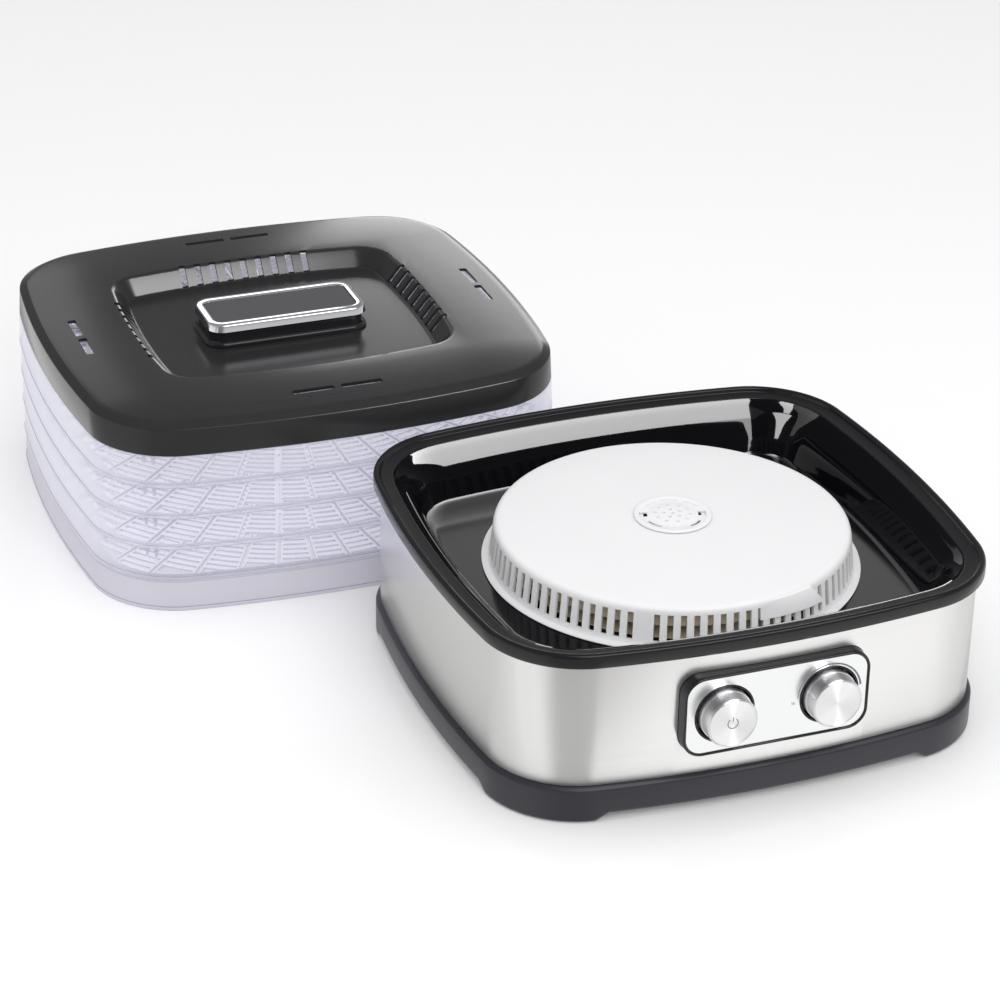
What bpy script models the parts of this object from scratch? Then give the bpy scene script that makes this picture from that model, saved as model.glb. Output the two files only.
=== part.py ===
"""Food dehydrator: a heated fan base, five stacking drying trays and a vented lid.

The base stands at the front right. The lid stands on its five trays just behind it, to the left,
as the pieces do when the stack has been lifted off. The front of the base faces -Y.
"""

import math

import bmesh
import bpy
from mathutils import Matrix, Vector

# ---- driving dimensions, in metres ---------------------------------------------------------
GAP = 0.0003                      # clearance between pieces that touch
WALL = 0.0022                     # moulded wall thickness

# One footprint serves the base, the trays and the lid: four wide arcs and four corner arcs.
HALF_WIDTH = 0.1750
HALF_DEPTH = 0.1659
SIDE_RADIUS = 0.8214
CORNER_RADIUS = 0.0648
SIDE_STEPS = 4
CORNER_STEPS = 4

# How far each piece stands inside the rim's outline.
HOUSING_INSET = 0.0018
STEEL_INSET = 0.00495
STEEL_THICKNESS = 0.0008
TRAY_INSET = 0.0011
LID_INSET = 0.0023
WELL_MOUTH_INSET = 0.0172
WELL_FLOOR_INSET = 0.0380

# Heights in the base.
FOOT_BOTTOM = 0.0010
NOTCH_TOP = 0.0060
NOTCH_FLARE = 0.0080
NOTCH_HALF_WIDTH = 0.1050
NOTCH_HALF_DEPTH = 0.0960
HOUSING_FLOOR = 0.0085
SKIRT_TOP = 0.0250
RIM_BOTTOM = 0.1103
RIM_SEAT = 0.1162
RIM_TOP = 0.1195
WELL_TOP = 0.1130
WELL_FLOOR = 0.0838
WELL_UNDERSIDE = 0.0815

# The well's curved wall, from its mouth to its floor: inset and height.
WELL_WALL = ((WELL_MOUTH_INSET, WELL_TOP), (0.0222, 0.1104), (0.0270, 0.1052), (0.0310, 0.0972),
             (0.0336, 0.0890), (0.0352, 0.0856), (WELL_FLOOR_INSET, WELL_FLOOR))
WELL_FLANGE_INSET = 0.0075

# Round pieces in the well.
WELL_HOLE_RADIUS = 0.0960
COVER_STEPS = 36
COVER_FLANGE_RADIUS = 0.1232
COVER_FOOT_RADIUS = 0.1185
COVER_EDGE_RADIUS = 0.1155
COVER_SLOTS = 18
VENT_HOLE_RADIUS = 0.0190
VENT_RADIUS = 0.0254
VENT_SEAT = 0.1156

# Control panel: distances along its own normal are counted from the plate's front face.
PANEL_FRONT = 0.1666              # from the base's centre to the plate's face
PANEL_HEIGHT = 0.0689
BEZEL_HALF = (0.0621, 0.0276)
BEZEL_CORNER = 0.0135
PLATE_HALF = (0.0602, 0.0257)
KNOB_SPACING = 0.0350             # from the panel's middle to each knob
COLLAR_RADIUS = 0.0196
CAP_RADIUS = 0.0172
KNOB_STEPS = 24
CAP_FRONT = 0.0126
CAP_BACK = -0.0035
STEM_BORE = 0.0045
SPINDLE_RADIUS = 0.0030
SPINDLE_BORE = 0.0033

# Mains inlet in the rear wall.
INLET_X = 0.0900
INLET_HEIGHT = 0.0550
INLET_BODY_HALF = (0.0132, 0.0096)

# Screws and feet.
HOUSING_SCREW_XY = (0.0980, 0.0880)
FOOT_XY = (0.1320, 0.1220)
FOOT_RADIUS = 0.0080
HANDLE_SCREW_X = 0.0350
TERMINAL_XY = (0.0850, 0.1040)

# Trays and lid.
TRAY_COUNT = 5
TRAY_PITCH = 0.0234
TRAY_DRAFT = 0.0010
GRID_THICKNESS = 0.0020
GRID_COLUMNS = 4
GRID_ROWS = 6
GRID_PITCH = (0.0680, 0.0440)
GRID_SLOT = (0.0520, 0.0200)
LID_BOTTOM = TRAY_COUNT * TRAY_PITCH
LID_EDGE = 0.1362
LID_TOP = 0.1416
LID_SHOULDER = 0.0100
RECESS_HALF = (0.1085, 0.0960)
RECESS_SIDE_RADIUS = 0.6000
RECESS_CORNER = 0.0240
RECESS_WALL_INSET = 0.0114
RECESS_FLOOR = 0.1290
LOUVRE_COUNT = 9
LOUVRE_PITCH = 0.0116
LOUVRE_WIDTH = 0.0044
HANDLE_TOP = 0.1467

# The stack's centre, from the base's centre.
STACK_OFFSET = (-0.1617, 0.3346)

# The origin lies at the middle of the whole arrangement, on the surface it stands on.
LEFT = STACK_OFFSET[0] - HALF_WIDTH + TRAY_INSET
FRONT = -PANEL_FRONT - CAP_FRONT
BACK = STACK_OFFSET[1] + HALF_DEPTH - TRAY_INSET
BASE_CENTRE = (-(LEFT + HALF_WIDTH) / 2, -(FRONT + BACK) / 2)
STACK_CENTRE = (BASE_CENTRE[0] + STACK_OFFSET[0], BASE_CENTRE[1] + STACK_OFFSET[1])

# colour, roughness, metallic, alpha
FINISHES = {
    "black_plastic": ((0.045, 0.045, 0.052), 0.42, 0.0, 1.0),
    "gloss_black": ((0.012, 0.012, 0.014), 0.10, 0.0, 1.0),
    "brushed_steel": ((0.62, 0.61, 0.60), 0.32, 1.0, 1.0),
    "white_plastic": ((0.86, 0.86, 0.86), 0.45, 0.0, 1.0),
    "clear_plastic": ((0.78, 0.78, 0.88), 0.08, 0.0, 0.35),
    "chrome": ((0.85, 0.86, 0.88), 0.06, 1.0, 1.0),
    "silver_plate": ((0.80, 0.81, 0.82), 0.35, 1.0, 1.0),
    "spun_aluminium": ((0.78, 0.79, 0.80), 0.28, 1.0, 1.0),
    "dark_inlay": ((0.085, 0.082, 0.090), 0.35, 0.0, 1.0),
    "rubber": ((0.03, 0.03, 0.03), 0.85, 0.0, 1.0),
    "mica": ((0.46, 0.38, 0.28), 0.70, 0.0, 1.0),
    "heater_wire": ((0.35, 0.33, 0.31), 0.45, 1.0, 1.0),
    "zinc_steel": ((0.55, 0.56, 0.57), 0.40, 1.0, 1.0),
    "switch_plastic": ((0.75, 0.74, 0.70), 0.50, 0.0, 1.0),
    "lead_insulation": ((0.55, 0.12, 0.08), 0.55, 0.0, 1.0),
}


def clear_scene():
    """Start from an empty scene."""
    for old in list(bpy.data.objects):
        bpy.data.objects.remove(old, do_unlink=True)


def finish(name):
    """The material of one finish, made once."""
    found = bpy.data.materials.get(name)
    if found:
        return found
    colour, roughness, metallic, alpha = FINISHES[name]
    material = bpy.data.materials.new(name)
    material.use_nodes = True
    shader = material.node_tree.nodes["Principled BSDF"]
    shader.inputs["Base Color"].default_value = (*colour, 1.0)
    shader.inputs["Roughness"].default_value = roughness
    shader.inputs["Metallic"].default_value = metallic
    shader.inputs["Alpha"].default_value = alpha
    return material


# ---- outlines and rings --------------------------------------------------------------------
def footprint(half_w, half_d, side_r, corner_r):
    """Points and outward normals of an outline of four wide arcs joined by four corner arcs."""
    drop = side_r - half_d
    shift = side_r - half_w
    span = math.hypot(drop, shift)
    reach = math.sqrt((side_r - corner_r) ** 2 - (span / 2) ** 2)
    corner = Vector((-shift / 2 + reach * drop / span, -drop / 2 + reach * shift / span))
    side_end = math.atan2(corner.y, corner.x + shift)
    back_start = math.atan2(corner.y + drop, corner.x)
    quarter = []
    for step in range(SIDE_STEPS // 2):
        quarter.append((Vector((-shift, 0)), side_r, side_end * step / (SIDE_STEPS // 2)))
    for step in range(CORNER_STEPS):
        angle = side_end + (back_start - side_end) * step / CORNER_STEPS
        quarter.append((corner, corner_r, angle))
    for step in range(SIDE_STEPS // 2):
        angle = back_start + (math.pi / 2 - back_start) * step / (SIDE_STEPS // 2)
        quarter.append((Vector((0, -drop)), side_r, angle))
    quarter.append((Vector((0, -drop)), side_r, math.pi / 2))
    points = []
    for centre, radius, angle in quarter:
        normal = Vector((math.cos(angle), math.sin(angle)))
        points.append((centre + radius * normal, normal))
    left = [(Vector((-p.x, p.y)), Vector((-n.x, n.y))) for p, n in reversed(points[:-1])]
    upper = points + left
    lower = [(Vector((p.x, -p.y)), Vector((n.x, -n.y))) for p, n in reversed(upper[1:-1])]
    return upper + lower


def ring(path, inset, height):
    """The outline moved inwards by a distance, at one height."""
    return [(p.x - inset * n.x, p.y - inset * n.y, height) for p, n in path]


def circle(radius, height, steps=COVER_STEPS):
    turn = 2 * math.pi / steps
    return [(radius * math.cos(i * turn), radius * math.sin(i * turn), height) for i in range(steps)]


def circle_along(path, radius, height):
    """A circle whose points lie in the same directions as the outline's points."""
    points = []
    for p, _ in path:
        size = p.length
        points.append((radius * p.x / size, radius * p.y / size, height))
    return points


def rounded(half_x, half_y, corner, height, steps=5):
    """A rectangle with round corners, counter-clockwise."""
    points = []
    for turn, (sx, sy) in enumerate(((1, 1), (-1, 1), (-1, -1), (1, -1))):
        for step in range(steps + 1):
            angle = (turn + step / steps) * math.pi / 2
            x = sx * (half_x - corner) + corner * math.cos(angle)
            y = sy * (half_y - corner) + corner * math.sin(angle)
            points.append((x, y, height))
    return points


FOOTPRINT = footprint(HALF_WIDTH, HALF_DEPTH, SIDE_RADIUS, CORNER_RADIUS)
RECESS = footprint(*RECESS_HALF, RECESS_SIDE_RADIUS, RECESS_CORNER)


# ---- bodies --------------------------------------------------------------------------------
def loft(rings, closed=False, mesh=None):
    """Bridge a row of rings. The last ring joins the first, or both ends are capped."""
    mesh = mesh or bmesh.new()
    loops = [[mesh.verts.new(co) for co in points] for points in rings]
    pairs = list(zip(loops, loops[1:]))
    if closed:
        pairs.append((loops[-1], loops[0]))
    else:
        mesh.faces.new(loops[0])
        mesh.faces.new(loops[-1])
    count = len(loops[0])
    for lower, upper in pairs:
        for i in range(count):
            j = (i + 1) % count
            mesh.faces.new((lower[i], lower[j], upper[j], upper[i]))
    bmesh.ops.recalc_face_normals(mesh, faces=mesh.faces)
    return mesh


def turned(profile, steps=24, closed=False, mesh=None):
    """A turned body about Z, from points (radius, height)."""
    return loft([circle(radius, height, steps) for radius, height in profile], closed, mesh)


def box(size, centre, angle=0.0, mesh=None):
    """An upright box, turned about Z at the origin after it is placed."""
    mesh = mesh or bmesh.new()
    place = Matrix.Rotation(angle, 4, "Z") @ Matrix.Translation(centre) @ Matrix.Diagonal((*size, 1))
    bmesh.ops.create_cube(mesh, size=1.0, matrix=place)
    return mesh


def drum(radius, bottom, top, at=(0.0, 0.0), steps=12, mesh=None):
    """A plain upright cylinder."""
    mesh = mesh or bmesh.new()
    rings = [[(x + at[0], y + at[1], z) for x, y, z in circle(radius, height, steps)]
             for height in (bottom, top)]
    return loft(rings, mesh=mesh)


def corners(xy):
    """Four points, one in each quarter."""
    return [(sx * xy[0], sy * xy[1]) for sx in (1, -1) for sy in (1, -1)]


def node(name, mesh, material, parent, location=(0, 0, 0), rotation=(0, 0, 0)):
    """One sub-part as an object of its own, shaded smooth up to 35 degrees."""
    data = bpy.data.meshes.new(name)
    mesh.to_mesh(data)
    mesh.free()
    data.shade_smooth()
    data.set_sharp_from_angle(angle=math.radians(35))
    data.materials.append(finish(material))
    piece = bpy.data.objects.new(name, data)
    bpy.context.collection.objects.link(piece)
    piece.parent = parent
    piece.location = location
    piece.rotation_euler = rotation
    return piece


def cut(piece, mesh, operation="DIFFERENCE"):
    """Cut a shape, given in the piece's own frame, out of it, or join it on."""
    data = bpy.data.meshes.new(piece.name + "_tool")
    mesh.to_mesh(data)
    mesh.free()
    tool = bpy.data.objects.new(piece.name + "_tool", data)
    bpy.context.collection.objects.link(tool)
    tool.parent = piece
    tool.hide_render = True
    tool.display_type = "WIRE"
    modifier = piece.modifiers.new(operation.title(), "BOOLEAN")
    modifier.operation = operation
    modifier.solver = "EXACT"
    modifier.object = tool


def frame_empty(name, centre):
    empty = bpy.data.objects.new(name, None)
    empty.location = (*centre, 0.0)
    bpy.context.collection.objects.link(empty)
    return empty


# ---- base: housing -------------------------------------------------------------------------
def notch_tool(half, along_x):
    """A trough across the underside that leaves a foot at each end, with sloping sides."""
    foot = half + NOTCH_FLARE
    section = ((-foot, 0.0), (foot, 0.0), (half, NOTCH_TOP), (-half, NOTCH_TOP))
    ends = []
    for reach in (-0.2, 0.2):
        ends.append([(reach, s, z) if along_x else (s, reach, z) for s, z in section])
    return loft(ends)


def make_bottom_housing(base):
    mesh = loft([
        ring(FOOTPRINT, HOUSING_INSET + 0.0016, FOOT_BOTTOM),
        ring(FOOTPRINT, HOUSING_INSET, 0.0040),
        ring(FOOTPRINT, HOUSING_INSET, SKIRT_TOP - 0.0014),
        ring(FOOTPRINT, HOUSING_INSET + 0.0014, SKIRT_TOP),
        ring(FOOTPRINT, 0.0066, SKIRT_TOP),
        ring(FOOTPRINT, 0.0066, HOUSING_FLOOR),
    ])
    piece = node("bottom_housing", mesh, "black_plastic", base)
    cut(piece, notch_tool(NOTCH_HALF_WIDTH, along_x=False))
    cut(piece, notch_tool(NOTCH_HALF_DEPTH, along_x=True))
    holes = drum(0.0550, -0.001, 0.02, steps=32)
    for at in corners(HOUSING_SCREW_XY):
        drum(0.0019, -0.001, 0.02, at, mesh=holes)
    for at in corners(FOOT_XY):
        drum(FOOT_RADIUS + GAP, -0.001, 0.0033, at, steps=16, mesh=holes)
    cut(piece, holes)


def make_feet_and_screws(base):
    for number, at in enumerate(corners(FOOT_XY), 1):
        mesh = turned([(FOOT_RADIUS - 0.0006, 0.0), (FOOT_RADIUS, 0.0006), (FOOT_RADIUS, 0.0030)], 16)
        node(f"foot_pad_{number}", mesh, "rubber", base, (*at, 0.0))
    for number, at in enumerate(corners(HOUSING_SCREW_XY), 1):
        mesh = turned([(0.0030, 0.0034), (0.0040, 0.0042), (0.0040, NOTCH_TOP - GAP),
                       (0.0015, NOTCH_TOP - GAP), (0.0015, 0.0200)], 12)
        node(f"housing_screw_{number}", mesh, "zinc_steel", base, (*at, 0.0))


def make_intake_grille(base):
    mesh = turned([(0.0620, HOUSING_FLOOR + GAP), (0.0620, HOUSING_FLOOR + 0.0021)], 32)
    piece = node("intake_grille", mesh, "black_plastic", base)
    slots = bmesh.new()
    for number in range(12):
        box((0.0320, 0.0060, 0.01), (0.0340, 0, HOUSING_FLOOR), number * math.pi / 6, slots)
    cut(piece, slots)


def make_steel_band(base):
    inner = STEEL_INSET + STEEL_THICKNESS
    mesh = loft([
        ring(FOOTPRINT, STEEL_INSET, SKIRT_TOP + GAP),
        ring(FOOTPRINT, STEEL_INSET, WELL_TOP),
        ring(FOOTPRINT, inner, WELL_TOP),
        ring(FOOTPRINT, inner, SKIRT_TOP + GAP),
    ], closed=True)
    piece = node("steel_band", mesh, "brushed_steel", base)
    hole = loft([rounded(BEZEL_HALF[0] + GAP, BEZEL_HALF[1] + GAP, BEZEL_CORNER, z) for z in (0.0, 0.1)])
    upright = Matrix.Translation((0, -0.12, PANEL_HEIGHT)) @ Matrix.Rotation(math.pi / 2, 4, "X")
    hole.transform(upright)
    inlet = loft([rounded(INLET_BODY_HALF[0] + GAP, INLET_BODY_HALF[1] + GAP, 0.002, z, 2)
                  for z in (-0.02, 0.02)])
    inlet.transform(inlet_place())
    data = bpy.data.meshes.new("inlet_hole")
    inlet.to_mesh(data)
    inlet.free()
    hole.from_mesh(data)
    cut(piece, hole)


def make_rim_frame(base):
    outer_edge = [(0.0, RIM_BOTTOM), (0.0, RIM_TOP - 0.0015), (0.0006, RIM_TOP - 0.0004),
                  (0.0018, RIM_TOP), (0.0040, RIM_TOP), (0.0047, RIM_TOP - 0.0007),
                  (0.0050, RIM_SEAT), (0.0158, RIM_SEAT), (0.0166, RIM_SEAT - 0.0008),
                  (0.0166, WELL_TOP + GAP), (0.0044, WELL_TOP + GAP), (0.0044, RIM_BOTTOM)]
    mesh = loft([ring(FOOTPRINT, inset, z) for inset, z in outer_edge], closed=True)
    node("rim_frame", mesh, "black_plastic", base)


def make_inner_well(base):
    """The glossy tub, with four hollow posts that the housing screws bite into."""
    wall = [ring(FOOTPRINT, inset, z) for inset, z in WELL_WALL]
    behind = [ring(FOOTPRINT, inset - 0.0018, z - 0.0014) for inset, z in reversed(WELL_WALL[1:-1])]
    mesh = loft([
        ring(FOOTPRINT, WELL_FLANGE_INSET, WELL_TOP),
        *wall,
        circle_along(FOOTPRINT, WELL_HOLE_RADIUS, WELL_FLOOR),
        circle_along(FOOTPRINT, WELL_HOLE_RADIUS, WELL_UNDERSIDE),
        ring(FOOTPRINT, WELL_FLOOR_INSET - 0.0008, WELL_UNDERSIDE),
        *behind,
        ring(FOOTPRINT, WELL_MOUTH_INSET - 0.0006, WELL_TOP - WALL),
        ring(FOOTPRINT, WELL_FLANGE_INSET, WELL_TOP - WALL),
    ], closed=True)
    piece = node("inner_well", mesh, "gloss_black", base)
    posts = bmesh.new()
    bores = bmesh.new()
    for at in corners(HOUSING_SCREW_XY):
        drum(0.0050, HOUSING_FLOOR + GAP, WELL_UNDERSIDE + 0.0010, at, mesh=posts)
        drum(0.0018, 0.0, 0.0215, at, mesh=bores)
    cut(piece, posts, "UNION")
    cut(piece, bores)


# ---- base: under and over the well ---------------------------------------------------------
def make_fan_cover(base):
    mesh = turned([
        (COVER_FLANGE_RADIUS, WELL_FLOOR + GAP),
        (COVER_FLANGE_RADIUS, WELL_FLOOR + 0.0016),
        (COVER_FOOT_RADIUS, WELL_FLOOR + 0.0016),
        (COVER_EDGE_RADIUS, 0.1085),
        (COVER_EDGE_RADIUS - 0.0010, 0.1106),
        (COVER_EDGE_RADIUS - 0.0030, 0.1117),
        (0.0700, 0.1141),
        (VENT_HOLE_RADIUS, VENT_SEAT - GAP),
        (VENT_HOLE_RADIUS, 0.1133),
        (0.0700, 0.1120),
        (COVER_EDGE_RADIUS - 0.0034, 0.1097),
        (COVER_EDGE_RADIUS - 0.0020, 0.1083),
        (COVER_FOOT_RADIUS - 0.0020, WELL_FLOOR + GAP),
    ], COVER_STEPS, closed=True)
    piece = node("fan_cover", mesh, "white_plastic", base)
    slots = bmesh.new()
    for number in range(COVER_SLOTS):
        angle = 2 * math.pi * (number + 0.25) / COVER_SLOTS
        box((0.0200, 0.0090, 0.0184), (0.1170, 0, 0.0976), angle, slots)
    cut(piece, slots)


def make_vent_cap(base):
    mesh = turned([(VENT_RADIUS - 0.0004, VENT_SEAT), (VENT_RADIUS, VENT_SEAT + 0.0008),
                   (VENT_RADIUS - 0.0010, VENT_SEAT + 0.0016)], 32)
    piece = node("vent_cap", mesh, "white_plastic", base)
    holes = bmesh.new()
    for count, reach, radius in ((8, 0.0170, 0.0024), (4, 0.0075, 0.0018)):
        for number in range(count):
            angle = 2 * math.pi * number / count
            at = (reach * math.cos(angle), reach * math.sin(angle))
            drum(radius, VENT_SEAT - 0.002, VENT_SEAT + 0.004, at, 8, holes)
    cut(piece, holes)


def make_heater(base):
    shield = [(0.1065, WELL_FLOOR + 0.0020), (0.1075, WELL_FLOOR + 0.0020), (0.1075, 0.1065), (0.1065, 0.1065)]
    node("mica_shield", turned(shield, COVER_STEPS, closed=True), "mica", base)

    plate_top = WELL_FLOOR + 0.0015
    plate = [(0.0760, WELL_FLOOR + GAP), (0.1050, WELL_FLOOR + GAP), (0.1050, plate_top), (0.0760, plate_top)]
    frame = node("heater_frame", turned(plate, 32, closed=True), "mica", base)
    fins = bmesh.new()
    for number in range(6):
        box((0.0260, 0.0020, 0.0112), (0.0912, 0, plate_top + 0.0050), number * math.pi / 3, fins)
    cut(frame, fins, "UNION")

    coil_height = plate_top + 0.0106 + GAP + 0.0035
    wire = []
    for step in range(6):
        angle = 2 * math.pi * step / 6
        wire.append((0.0910 + 0.0035 * math.cos(angle), coil_height + 0.0035 * math.sin(angle)))
    node("heater_coil", turned(wire, 24, closed=True), "heater_wire", base)

    cutout = turned([(0.0034, plate_top + GAP), (0.0040, plate_top + 0.0008), (0.0040, plate_top + 0.0045)], 12)
    angle = math.radians(30)
    node("thermal_cutout", cutout, "zinc_steel", base, (0.0880 * math.cos(angle), 0.0880 * math.sin(angle), 0))


def make_motor(base):
    top = WELL_UNDERSIDE - GAP
    mesh = box((0.2080, 0.0220, 0.0020), (0, 0, top - 0.0010))
    bracket = node("motor_bracket", mesh, "zinc_steel", base)
    cut(bracket, box((0.0220, 0.2080, 0.0020), (0, 0, top - 0.0010)), "UNION")
    cut(bracket, drum(0.0060, 0.07, 0.09, steps=16))

    motor_top = top - 0.0020 - GAP
    mesh = turned([(0.0280, 0.0440), (0.0300, 0.0460), (0.0300, motor_top), (SPINDLE_BORE, motor_top),
                   (SPINDLE_BORE, 0.0580)], 24)
    node("motor_body", mesh, "zinc_steel", base)


def make_fan(base):
    mesh = turned([(SPINDLE_RADIUS, 0.0583), (SPINDLE_RADIUS, 0.1060)], 16)
    node("motor_shaft", mesh, "zinc_steel", base)

    disc = [(SPINDLE_BORE, 0.0860), (0.0120, 0.0860), (0.0120, 0.0985), (0.0720, 0.0985),
            (0.0720, 0.1000), (SPINDLE_BORE, 0.1000)]
    impeller = node("fan_impeller", turned(disc, 32, closed=True), "zinc_steel", base)
    blades = bmesh.new()
    for number in range(9):
        angle = 2 * math.pi * number / 9
        box((0.0440, 0.0016, 0.0125), (0.0480, 0.0100, 0.0928), angle, blades)
    cut(impeller, blades, "UNION")

    hole = SPINDLE_BORE / math.cos(math.pi / 6)
    nut = [(hole, 0.1003), (0.0062, 0.1003), (0.0062, 0.1035), (hole, 0.1035)]
    node("impeller_nut", turned(nut, 6, closed=True), "zinc_steel", base)


# ---- base: panel ---------------------------------------------------------------------------
FACING_FRONT = (math.pi / 2, 0, 0)


def panel_place(x):
    """The point of a panel piece's own origin, on the plate's front face."""
    return (x, -PANEL_FRONT, PANEL_HEIGHT)


def make_panel(base):
    half_x, half_y = BEZEL_HALF
    lip = 0.0016
    ledge = 0.0036
    sections = [(0.0, -0.0105), (0.0, 0.0004), (0.0008, 0.0012), (lip, 0.0012), (lip, -0.0015),
                (ledge, -0.0015), (ledge, -0.0105)]
    rings = [rounded(half_x - inset, half_y - inset, BEZEL_CORNER - inset, z) for inset, z in sections]
    node("panel_bezel", loft(rings, closed=True), "gloss_black", base, panel_place(0), FACING_FRONT)

    corner = BEZEL_CORNER - lip - GAP
    mesh = loft([rounded(*PLATE_HALF, corner, z) for z in (-0.0012, 0.0)])
    plate = node("panel_plate", mesh, "silver_plate", base, panel_place(0), FACING_FRONT)
    holes = bmesh.new()
    for side in (-1, 1):
        drum(COLLAR_RADIUS + 2 * GAP, -0.01, 0.01, (side * KNOB_SPACING, 0), KNOB_STEPS, holes)
    cut(plate, holes)

    for name, side in (("button_collar", -1), ("knob_collar", 1)):
        mesh = turned([(COLLAR_RADIUS, 0.0006), (0.0186, 0.0006), (0.0177, -0.0040), (0.0177, -0.0070),
                       (STEM_BORE, -0.0070), (STEM_BORE, -0.0085), (COLLAR_RADIUS, -0.0085)], KNOB_STEPS, closed=True)
        node(name, mesh, "gloss_black", base, panel_place(side * KNOB_SPACING), FACING_FRONT)


def make_button(base):
    at = panel_place(-KNOB_SPACING)
    cap = turned([(0.0160, CAP_BACK), (CAP_RADIUS, CAP_BACK + 0.0007), (CAP_RADIUS, 0.0040),
                  (CAP_RADIUS - 0.0005, 0.0045), (CAP_RADIUS - 0.0005, CAP_FRONT - 0.0010),
                  (CAP_RADIUS - 0.0016, CAP_FRONT)], KNOB_STEPS)
    node("power_button", cap, "spun_aluminium", base, at, FACING_FRONT)
    stem = turned([(STEM_BORE - 0.0005, -0.0160), (STEM_BORE - 0.0005, CAP_BACK - GAP)], 12)
    node("button_plunger", stem, "switch_plastic", base, at, FACING_FRONT)

    body = node("power_switch_body", box((0.0200, 0.0200, 0.0210), (0, 0, -0.0193)), "switch_plastic",
                base, at, FACING_FRONT)
    cut(body, drum(STEM_BORE, -0.0200, 0.0, steps=16))


def make_knob(base):
    at = panel_place(KNOB_SPACING)
    cap = turned([(SPINDLE_BORE, 0.0060), (SPINDLE_BORE, CAP_BACK), (0.0160, CAP_BACK),
                  (CAP_RADIUS, CAP_BACK + 0.0007), (CAP_RADIUS, 0.0040), (CAP_RADIUS - 0.0005, 0.0045),
                  (CAP_RADIUS - 0.0005, CAP_FRONT - 0.0010), (CAP_RADIUS - 0.0016, CAP_FRONT)], KNOB_STEPS)
    node("temp_knob", cap, "spun_aluminium", base, at, FACING_FRONT)
    stem = turned([(SPINDLE_RADIUS, -0.0200), (SPINDLE_RADIUS, 0.0057)], 16)
    node("thermostat_spindle", stem, "zinc_steel", base, at, FACING_FRONT)

    body = turned([(SPINDLE_BORE, -0.0205), (SPINDLE_BORE, -0.0088), (0.0060, -0.0088), (0.0060, -0.0150),
                   (0.0155, -0.0150), (0.0155, -0.0300)], 24)
    node("thermostat_body", body, "switch_plastic", base, at, FACING_FRONT)


# ---- base: electrics -----------------------------------------------------------------------
def inlet_place():
    """Where the inlet's flange meets the curved rear wall, with its own +Z pointing outwards."""
    wall_radius = SIDE_RADIUS - STEEL_INSET
    angle = math.asin(INLET_X / wall_radius)
    y = HALF_DEPTH - SIDE_RADIUS + wall_radius * math.cos(angle) + GAP
    turn = Matrix.Rotation(-angle, 4, "Z") @ Matrix.Rotation(-math.pi / 2, 4, "X")
    return Matrix.Translation((INLET_X, y, INLET_HEIGHT)) @ turn


def make_power_inlet(base):
    """A three-pin appliance inlet: flange, body and recessed socket."""
    body_x, body_y = INLET_BODY_HALF
    sections = [(body_x, body_y, 0.0020, -0.0190), (body_x, body_y, 0.0020, 0.0),
                (0.0160, 0.0125, 0.0025, 0.0), (0.0160, 0.0125, 0.0025, 0.0022),
                (0.0118, 0.0081, 0.0015, 0.0022), (0.0116, 0.0079, 0.0015, -0.0125)]
    mesh = loft([rounded(*section, steps=2) for section in sections])
    piece = node("power_inlet", mesh, "black_plastic", base)
    piece.matrix_local = inlet_place()
    pins = bmesh.new()
    for x, y in ((0.0, 0.0030), (-0.0070, -0.0020), (0.0070, -0.0020)):
        box((0.0020, 0.0045, 0.0125), (x, y, -0.0075), mesh=pins)
    cut(piece, pins, "UNION")


def make_terminal_block(base):
    x, y = TERMINAL_XY
    mesh = box((0.0400, 0.0160, 0.0120), (x, y, HOUSING_FLOOR + GAP + 0.0060))
    piece = node("terminal_block", mesh, "switch_plastic", base)
    wells = bmesh.new()
    for shift in (-0.0120, 0.0, 0.0120):
        drum(0.0030, 0.0160, 0.03, (x + shift, y), 12, wells)
    cut(piece, wells)


def make_lead(base, name, knots):
    """An insulated lead inside the base, through smooth points between its knots."""
    points = []
    padded = [knots[0]] + list(knots) + [knots[-1]]
    for before, start, end, after in zip(padded, padded[1:], padded[2:], padded[3:]):
        for step in range(4):
            t = step / 4
            blend = (-t + 2 * t ** 2 - t ** 3, 2 - 5 * t ** 2 + 3 * t ** 3,
                     t + 4 * t ** 2 - 3 * t ** 3, t ** 3 - t ** 2)
            point = Vector()
            for weight, knot in zip(blend, (before, start, end, after)):
                point += 0.5 * weight * Vector(knot)
            points.append(point)
    points.append(Vector(knots[-1]))
    curve = bpy.data.curves.new(name, "CURVE")
    curve.dimensions = "3D"
    curve.bevel_depth = 0.0011
    curve.bevel_resolution = 1
    curve.use_fill_caps = True
    curve.materials.append(finish("lead_insulation"))
    spline = curve.splines.new("POLY")
    spline.points.add(len(points) - 1)
    for spot, point in zip(spline.points, points):
        spot.co = (*point, 1.0)
    piece = bpy.data.objects.new(name, curve)
    bpy.context.collection.objects.link(piece)
    piece.parent = base


def make_leads(base):
    make_lead(base, "inlet_lead", [(0.0880, 0.1345, 0.0550), (0.0880, 0.1250, 0.0500),
                                   (0.0860, 0.1180, 0.0300), (0.0850, 0.1136, 0.0150)])
    make_lead(base, "switch_lead", [(0.0600, 0.0960, 0.0150), (0.0400, 0.0750, 0.0200),
                                    (-0.0100, -0.0600, 0.0300), (-0.0300, -0.1150, 0.0550),
                                    (-0.0350, -0.1340, 0.0650)])
    make_lead(base, "motor_lead", [(0.0620, 0.1040, 0.0180), (0.0450, 0.0900, 0.0300),
                                   (0.0250, 0.0550, 0.0500), (0.0150, 0.0320, 0.0600)])


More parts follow.
